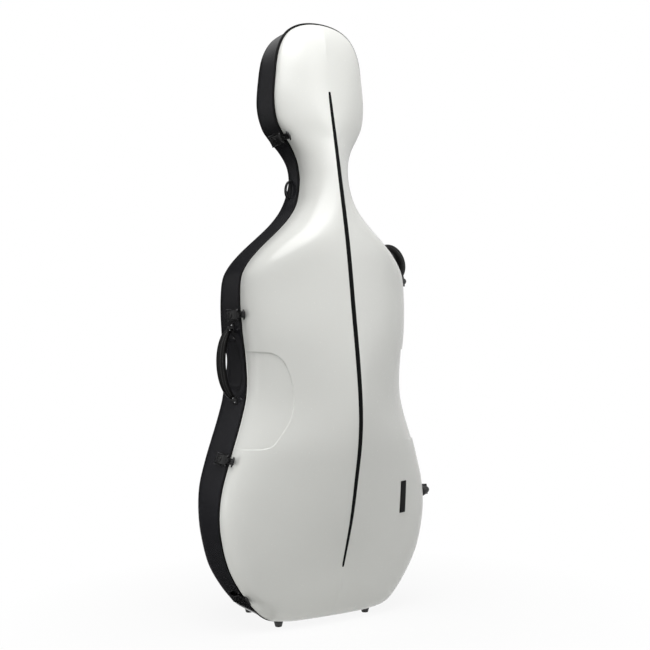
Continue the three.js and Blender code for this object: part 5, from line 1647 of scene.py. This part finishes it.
class CASE_OT_hinges(bpy.types.Operator):
    """Two hinges: base leaf with the middle knuckle, domed lid leaf with the outer ones"""
    bl_idname = "case.hinges"
    bl_label = "Hinges"

    def execute(self, context):
        black, steel = "Black lacquered metal", "Bright steel"
        out = BACK.cross(Vector(JOINTS["lid_open"]["axis"]).normalized())
        for name in ("lower", "upper"):
            low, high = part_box(f"hinge_pin_{name}")
            at = placed(in_case((low + high) / 2), out)
            make_piece(f"hinge_base_{name}", self.base_leaf(), [black, steel], "base",
                       [f"hinge_base_leaf_{name}"], "hinge_black_metal", at=at)
            make_piece(f"hinge_lid_{name}", self.lid_leaf(), [black], "lid", [f"hinge_lid_leaf_{name}"],
                       "hinge_black_metal", at=at)
            pin = headed_rod(HINGE_PIN, HINGE_LENGTH / 2, HINGE_PIN_HEAD, 0, HINGE_PIN_HEIGHT)
            make_piece(f"hinge_axle_{name}", pin, [steel], "base", [f"hinge_pin_{name}"], "pin_steel", at=at)
        return {"FINISHED"}

    def base_leaf(self):
        half, third = HINGE_LENGTH / 2, HINGE_LENGTH / 6
        span = (CLEARANCE - third, third - CLEARANCE)
        leaf = slab(((-HINGE_OFFSET - 4, -HINGE_OFFSET + 2.6), (HINGE_NEAR, HINGE_FAR), (-half, half)), 2.5)
        arm = prism(rounded(HINGE_BASE_ARM, 1.2, 3), span, 0.3)
        screws = [wall_screw(HINGE_SCREWS["radius"], HINGE_SCREWS["lift"], HINGE_SCREWS["back"],
                             side * HINGE_SCREWS["aside"], 1) for side in (-1, 1)]
        return [leaf, arm, rod(HINGE_KNUCKLE, span, round_off=0.5), *screws]

    def lid_leaf(self):
        half, third = HINGE_LENGTH / 2, HINGE_LENGTH / 6
        outline = rounded(HINGE_DOME_LINE, 3, 5)
        rings = []
        out, back = HINGE_DOME_ROOT
        for share in np.sin(np.linspace(-math.pi / 2, math.pi / 2, 25)):
            swell = math.sqrt(max(1 - HINGE_DOME_SHARE * share ** 2, 0))
            along = mix(HINGE_DOME_LENGTH_SHARE, 1, swell)
            rings.append([(mix(out, u, swell), mix(back, v, along), half * share) for u, v in outline])
        parts = [swept(rings)]
        for span in ((-half, -third), (third, half)):
            parts += [prism(rounded(HINGE_LID_ARM, 1.2, 3), span, 0.3), rod(HINGE_KNUCKLE, span, round_off=0.5)]
        return parts


def handle_frame(name):
    """Local X away from the case, Y back and Z along the line through both ends, and half its length."""
    h = HANDLES[name]
    start, end = [wall_place(h[key], h["side"]).translation for key in ("low", "high")]
    chord = (end - start).normalized()
    origin = (start + end) / 2
    origin.y = h["depth"]
    return placed(origin, Vector((h["side"] * chord.z, 0, -h["side"] * chord.x))), (end - start).length / 2


def oval(angle):
    """A place on the grip's flat-sided oval, as shares away from the case and aside."""
    away, aside = math.cos(angle), math.sin(angle)
    return [math.copysign(abs(share) ** GRIP_OVAL_POWER, share) for share in (away, aside)]


def grip_ring(h, half_span, angle, section):
    """One ring of a grip: a section of (away, aside) shares set square to the bow at an angle."""
    swell = mix(GRIP_END_SHARE, 1, math.sin(angle) ** GRIP_SWELL_POWER)
    centre = Vector((h["lift"] + h["rise"] * math.sin(angle) ** h["fullness"], 0, half_span * math.cos(angle)))
    slope = Vector((half_span * math.sin(angle), 0, h["rise"] * math.cos(angle))).normalized()
    return [centre + slope * (swell * GRIP_THICKNESS / 2 * away) + BACK * (swell * GRIP_WIDTH / 2 * aside)
            for away, aside in section]


def end_span(sign, low, high):
    """A stretch along local Z, measured towards one end of a handle."""
    return (low, high) if sign > 0 else (-high, -low)


class CASE_OT_handles(bpy.types.Operator):
    """Two carrying handles: leather grips with sewn seams, steel ends and black brackets"""
    bl_idname = "case.handles"
    bl_label = "Handles"

    def execute(self, context):
        for name, h in HANDLES.items():
            at, half_span = handle_frame(name)
            reach = half_span - CLEARANCE
            length = reach - HANDLE_BOSS_LENGTH / 2
            section = self.section()
            parts = [swept([grip_ring(h, length, angle, section) for angle in np.linspace(0, math.pi, 61)])]
            for sign in (-1, 1):
                parts += self.end_parts(sign, reach, half_span, h["lift"])
            make_piece(f"{name}_bow", parts, ["Black leather", "Bright steel"], name, [f"{name}_grip"],
                       "grip_leather", sharp=50, at=at)
            self.stitches(context, name, h, at, length)
            for sign in (-1, 1):
                end = "high" if (at.to_3x3() @ Vector((0, 0, sign))).z > 0 else "low"
                bracket = self.bracket(sign, half_span, h, wall_place(h[end], h["side"]), at)
                make_piece(f"{name}_mount_{end}", bracket, ["Black lacquered metal", "Bright steel"], "base",
                           [f"{name}_bracket_{end}"], "bracket_metal")
        return {"FINISHED"}

    def section(self):
        """Flat-sided oval with a groove along each seam."""
        shape = []
        for turn in round_turns(72):
            groove = sum(math.exp(-((math.degrees(turn) - at) / GROOVE_TURN) ** 2) for at in GROOVE_TURNS)
            shape.append([share * (1 - GROOVE_DEPTH * groove) for share in oval(turn)])
        return shape

    def end_parts(self, sign, reach, half_span, lift):
        start, end = [reach - gap for gap in HANDLE_COLLAR_SPAN]
        boss = rod(HANDLE_BOSS, end_span(sign, reach - HANDLE_BOSS_LENGTH, reach), (lift, 0), 0.8, 40)
        collar = rod(HANDLE_BOSS + HANDLE_COLLAR, end_span(sign, start, end), (lift, 0), 0.7, 40)
        start, end = reach - HANDLE_BOSS_LENGTH / 2, half_span + HANDLE_EAR
        pin = rod(HANDLE_PIN, end_span(sign, start, end), (lift, 0), 0.5)
        return [boss, collar.dressed(1), pin.dressed(1)]

    def bracket(self, sign, half_span, h, wall, at):
        half, top, depth = BRACKET_HALF, h["lift"] + HANDLE_BOSS, h["depth"]
        cheek = rounded([(MOUNT_SPAN[0], -half), (0, -half), (top - 2, -4), (top + 0.4, 0), (top - 2, 4),
                         (0, half), (MOUNT_SPAN[0], half)], 3, 5)
        ear = prism(cheek, end_span(sign, half_span, half_span + HANDLE_EAR), 0.8, 3).moved(at)
        # A foot reaches away from its grip along the wall, and laps a little under it
        away = -sign * h["side"]
        tall = end_span(away, -HANDLE_LAP, HANDLE_FOOT)
        foot = slab((MOUNT_SPAN, (depth - half - 1, depth + half + 1), tall), 3, 0.6)
        screw = wall_screw(HANDLE_SCREW, MOUNT_SPAN[1] - SCREW_SEAT, depth, away * HANDLE_SCREW_PLACE, 1)
        return [ear, foot.moved(wall), screw.moved(wall)]

    def stitches(self, context, name, h, at, length):
        """Rows of stitches in the grooves beside the outer face, repeated along a line by Geometry Nodes."""
        corners, edges = [], []
        for turn in SEAM_TURNS:
            spot = [SEAM_SHARE * share for share in oval(math.radians(turn))]
            line = [at @ grip_ring(h, length, t, [spot])[0]
                    for t in np.linspace(SEAM_START, math.pi - SEAM_START, 80)]
            edges += [(len(corners) + i, len(corners) + i + 1) for i in range(len(line) - 1)]
            corners += line
        mesh = bpy.data.meshes.new("Seam lines")
        mesh.from_pydata(to_frame([p[:] for p in corners]).tolist(), edges, [])
        piece = add_object(f"{name}_stitches", mesh)
        fittings = context.scene.case_fittings
        values = {"Stitch Length": fittings.stitch_length, "Spacing": fittings.stitch_spacing,
                  "Thread Radius": THREAD_RADIUS, "Material": make_finish("Waxed thread")}
        repeat_along(context, piece, values)
        settle(piece, name, slot="grip_leather")


def stitch_tree():
    """Geometry Nodes: short rounded stitches end to end along every line of a mesh."""
    found = bpy.data.node_groups.get("Stitches along lines")
    if found:
        return found
    tree = bpy.data.node_groups.new("Stitches along lines", "GeometryNodeTree")
    for label, way, kind in (("Lines", "INPUT", "Geometry"), ("Stitch Length", "INPUT", "Float"),
                             ("Spacing", "INPUT", "Float"), ("Thread Radius", "INPUT", "Float"),
                             ("Material", "INPUT", "Material"), ("Stitches", "OUTPUT", "Geometry")):
        tree.interface.new_socket(label, in_out=way, socket_type=f"NodeSocket{kind}")
    g = Graph(tree)

    def step(kind, inputs=None, **settings):
        return g.add(kind, inputs, **settings).outputs[0]

    given = g.add("NodeGroupInput").outputs
    curve = step("GeometryNodeMeshToCurve", {"Mesh": given["Lines"]})
    spots = step("GeometryNodeResampleCurve", {"Curve": curve, "Length": given["Spacing"]}, mode="LENGTH")
    ball = step("GeometryNodeMeshUVSphere", {"Segments": 6, "Rings": 5, "Radius": given["Thread Radius"]})
    slim = g.math("DIVIDE", given["Stitch Length"], g.math("MULTIPLY", given["Thread Radius"], 2.0))
    scale = step("ShaderNodeCombineXYZ", {"X": 1.0, "Y": 1.0, "Z": slim})
    stitch = step("GeometryNodeTransform", {"Geometry": ball, "Scale": scale})
    turn = step("FunctionNodeAlignRotationToVector", {"Vector": step("GeometryNodeInputTangent")}, axis="Z")
    rows = step("GeometryNodeInstanceOnPoints", {"Points": spots, "Instance": stitch, "Rotation": turn})
    real = step("GeometryNodeRealizeInstances", {"Geometry": rows})
    smooth = step("GeometryNodeSetShadeSmooth", {"Geometry": real})
    dressed = step("GeometryNodeSetMaterial", {"Geometry": smooth, "Material": given["Material"]})
    g.add("NodeGroupOutput", {"Stitches": dressed})
    return tree


def repeat_along(context, piece, values):
    """Runs the stitch tree on a piece and keeps the result as its plain mesh."""
    modifier = piece.modifiers.new("Stitches", "NODES")
    modifier.node_group = stitch_tree()
    for item in modifier.node_group.interface.items_tree:
        if item.in_out == "INPUT" and item.name in values:
            modifier[item.identifier] = values[item.name]
    context.view_layer.update()
    keep_result(context, piece)


class CASE_OT_eyes(bpy.types.Operator):
    """Four eyes for carrying straps, each a rounded loop on a small foot"""
    bl_idname = "case.eyes"
    bl_label = "Strap eyes"

    def execute(self, context):
        for name, side in (("left", -1), ("right", 1)):
            wall = wall_place(NECK_EYE_HEIGHT, side, NECK_EYE_DEPTH)
            out, back, along = [Vector(wall.col[k][:3]) for k in range(3)]
            self.add_eye(f"neck_{name}", axes(out, along, -back, wall.translation))
            low, high = case_box(f"strap_eye_back_{name}")
            spot = Vector(((low.x + high.x) / 2, high.y - EYE_LIFT, (low.z + high.z) / 2))
            self.add_eye(f"back_{name}", axes(BACK, Vector((0, 0, 1)), Vector((1, 0, 0)), spot))
        return {"FINISHED"}

    def add_eye(self, name, at):
        def arc(shrink, shift=0.0):
            return [((EYE_LIFT - shrink) * math.cos(t) + shift, (EYE_LENGTH / 2 - shrink) * math.sin(t))
                    for t in np.linspace(-math.pi / 2, math.pi / 2, 33)]

        outer = [(-EYE_ROOT, -EYE_LENGTH / 2), *arc(0), (-EYE_ROOT, EYE_LENGTH / 2)]
        inner = arc(EYE_WALL, EYE_WALL / 3)
        loop = framed_hole(outer, [inner[0], *inner, inner[-1]], (-EYE_HALF, EYE_HALF), EYE_EDGE)
        make_piece(f"strap_eye_{name}_loop", [loop], ["Black moulded plastic"], "base", [f"strap_eye_{name}"],
                   "eye_plastic", sharp=45, at=at)


class CASE_OT_feet(bpy.types.Operator):
    """Four turned rubber feet with a screwed insert"""
    bl_idname = "case.feet"
    bl_label = "Feet"

    def execute(self, context):
        insert = screw_head(FOOT_SCREW["radius"]).moved(UPSIDE_DOWN).shifted(0, 0, FOOT_SCREW["seat"])
        for row, depth in FOOT_DEPTHS.items():
            for name, side in (("left", -1), ("right", 1)):
                at = Matrix.Translation((side * FOOT_SPREAD, depth, 0))
                make_piece(f"foot_{row}_{name}_rubber", [turned(FOOT_PROFILE, 48), insert.dressed(1)],
                           ["Foot rubber", "Bright steel"], "base", [f"foot_{row}_{name}"], "foot_rubber",
                           sharp=50, at=at)
        return {"FINISHED"}


class CASE_OT_interior(bpy.types.Operator):
    """Neck strap and the bow holders with their turning clips"""
    bl_idname = "case.interior"
    bl_label = "Strap and bow holders"

    def execute(self, context):
        make_piece("neck_strap_webbing", [self.strap()], ["Black webbing"], "base", ["neck_strap"],
                   "strap_webbing", sharp=50)
        lining = surface_of("lid_lining_velour", -1)
        for name in ("left", "right"):
            for kind, (width, deep) in HOLDER_GROOVES.items():
                low, high = case_box(f"bow_{kind}_holder_{name}")
                make_piece(f"bow_{kind}_rest_{name}", [self.grooved(lining, low, high, width / 2, deep)],
                           ["Holder velour"], "lid", [f"bow_{kind}_holder_{name}"], "holder_plastic", sharp=50)
            make_piece(f"bow_clip_{name}_arm", self.clip(name), ["Black moulded plastic", "Bright steel"],
                       f"bow_clip_{name}", [f"bow_clip_{name}"], "clip_plastic")
        return {"FINISHED"}

    def strap(self):
        low, high = case_box("neck_strap")
        half, floor, top = (high.x - low.x) / 2, high.y, low.y
        rising = [(half * across, mix(floor, top, up)) for across, up in STRAP_SHARES]
        line = open_line([*rising, (0, top + STRAP_CROWN), *[(-x, y) for x, y in rising[::-1]]], 12)
        share, rise = STRAP_CORNER
        section = [(0, low.z), (share, low.z), (1, low.z + rise), (1, high.z - rise), (share, high.z),
                   (0, high.z)]
        rings = []
        for i, (x, y) in enumerate(line):
            before, after = line[max(i - 1, 0)], line[min(i + 1, len(line) - 1)]
            way = (after - before) / np.linalg.norm(after - before)
            side = np.array([way[1], -way[0]]) * (1 if way[0] > 0 else -1) * STRAP_THICKNESS
            rings.append([(x + side[0] * thick, min(y + side[1] * thick, floor), z) for thick, z in section])
        return swept(rings)

    def grooved(self, lining, low, high, half, deep):
        """A block whose back lies on the lining and whose front has a groove for the stick."""
        middle, front = (low.x + high.x) / 2, high.y
        # The first and last corners lie inside the lid, and their roundings are left out
        line = rounded([(low.x, front - HOLDER_DEPTH), (low.x, front), (middle - half, front),
                        (middle - half, front - deep), (middle + half, front - deep), (middle + half, front),
                        (high.x, front), (high.x, front - HOLDER_DEPTH)], 1.6, 5)[6:-6]
        rings = []
        for share in HOLDER_SHARES:
            z = mix(low.z, high.z, share)
            inward = max(0.0, HOLDER_END - HOLDER_END_RATE * min(share, 1 - share))
            ring = [(mix(x, middle, inward / HOLDER_END_SPREAD), y - inward, z) for x, y in line]
            ring += [(x, lining(x, z) - HOLDER_SINK, z) for x in np.linspace(ring[-1][0], ring[0][0], 9)]
            rings.append(ring)
        return swept(rings)

    def clip(self, name):
        pivot = in_case(JOINTS[f"bow_clip_{name}_turn"]["pos_m"])
        low, high = case_box(f"bow_clip_{name}")
        top = high.y
        outline = rounded(box_line(low.x, high.x, low.z, high.z), CLIP_CORNER, 8)
        arm = prism([(x, -z) for x, z in outline], (top - CLIP_THICKNESS, top), 0.5, 3).moved(UP_IS_Y)
        post = rod(CLIP_POST, (low.y, top - CLIP_THICKNESS / 2)).moved(UP_IS_Y).shifted(pivot.x, 0, pivot.z)
        head = screw_head(CLIP_SCREW).moved(UP_IS_Y).shifted(pivot.x, top - CLIP_SCREW_SEAT, pivot.z)
        return [arm, post, head.dressed(1)]


class CASE_PT_panel(bpy.types.Panel):
    """Sizes, colours and the steps that build the case"""
    bl_idname = "CASE_PT_panel"
    bl_label = "Cello case"
    bl_space_type = "VIEW_3D"
    bl_region_type = "UI"
    bl_category = "Cello case"

    def draw(self, context):
        for name, group in GROUPS_OF_SETTINGS.items():
            box = self.layout.box()
            box.label(text=name.removeprefix("case_").capitalize())
            for setting in group.__annotations__:
                box.prop(getattr(context.scene, name), setting)
        for step in STEPS:
            self.layout.operator(step.bl_idname)


STEPS = (CASE_OT_stage, CASE_OT_shells, CASE_OT_rim, CASE_OT_inlays, CASE_OT_linings, CASE_OT_cushions,
         CASE_OT_latches, CASE_OT_hinges, CASE_OT_handles, CASE_OT_eyes, CASE_OT_feet, CASE_OT_interior)
GROUPS_OF_SETTINGS = {"case_shell": CASE_PG_Shell, "case_fittings": CASE_PG_Fittings,
                      "case_stage": CASE_PG_Stage}


def register():
    for group in GROUPS_OF_SETTINGS.values():
        bpy.utils.register_class(group)
    for step in STEPS:
        bpy.utils.register_class(step)
    bpy.utils.register_class(CASE_PT_panel)
    for name, group in GROUPS_OF_SETTINGS.items():
        setattr(bpy.types.Scene, name, PointerProperty(type=group))


def unregister():
    for name in GROUPS_OF_SETTINGS:
        delattr(bpy.types.Scene, name)
    bpy.utils.unregister_class(CASE_PT_panel)
    for step in reversed(STEPS):
        bpy.utils.unregister_class(step)
    for group in reversed(GROUPS_OF_SETTINGS.values()):
        bpy.utils.unregister_class(group)


def main():
    register()
    bpy.ops.case.stage()
    bpy.ops.case.shells()
    bpy.ops.case.rim()
    bpy.ops.case.inlays()
    bpy.ops.case.linings()
    bpy.ops.case.cushions()
    bpy.ops.case.latches()
    bpy.ops.case.hinges()
    bpy.ops.case.handles()
    bpy.ops.case.eyes()
    bpy.ops.case.feet()
    bpy.ops.case.interior()


if __name__ == "__main__":
    main()
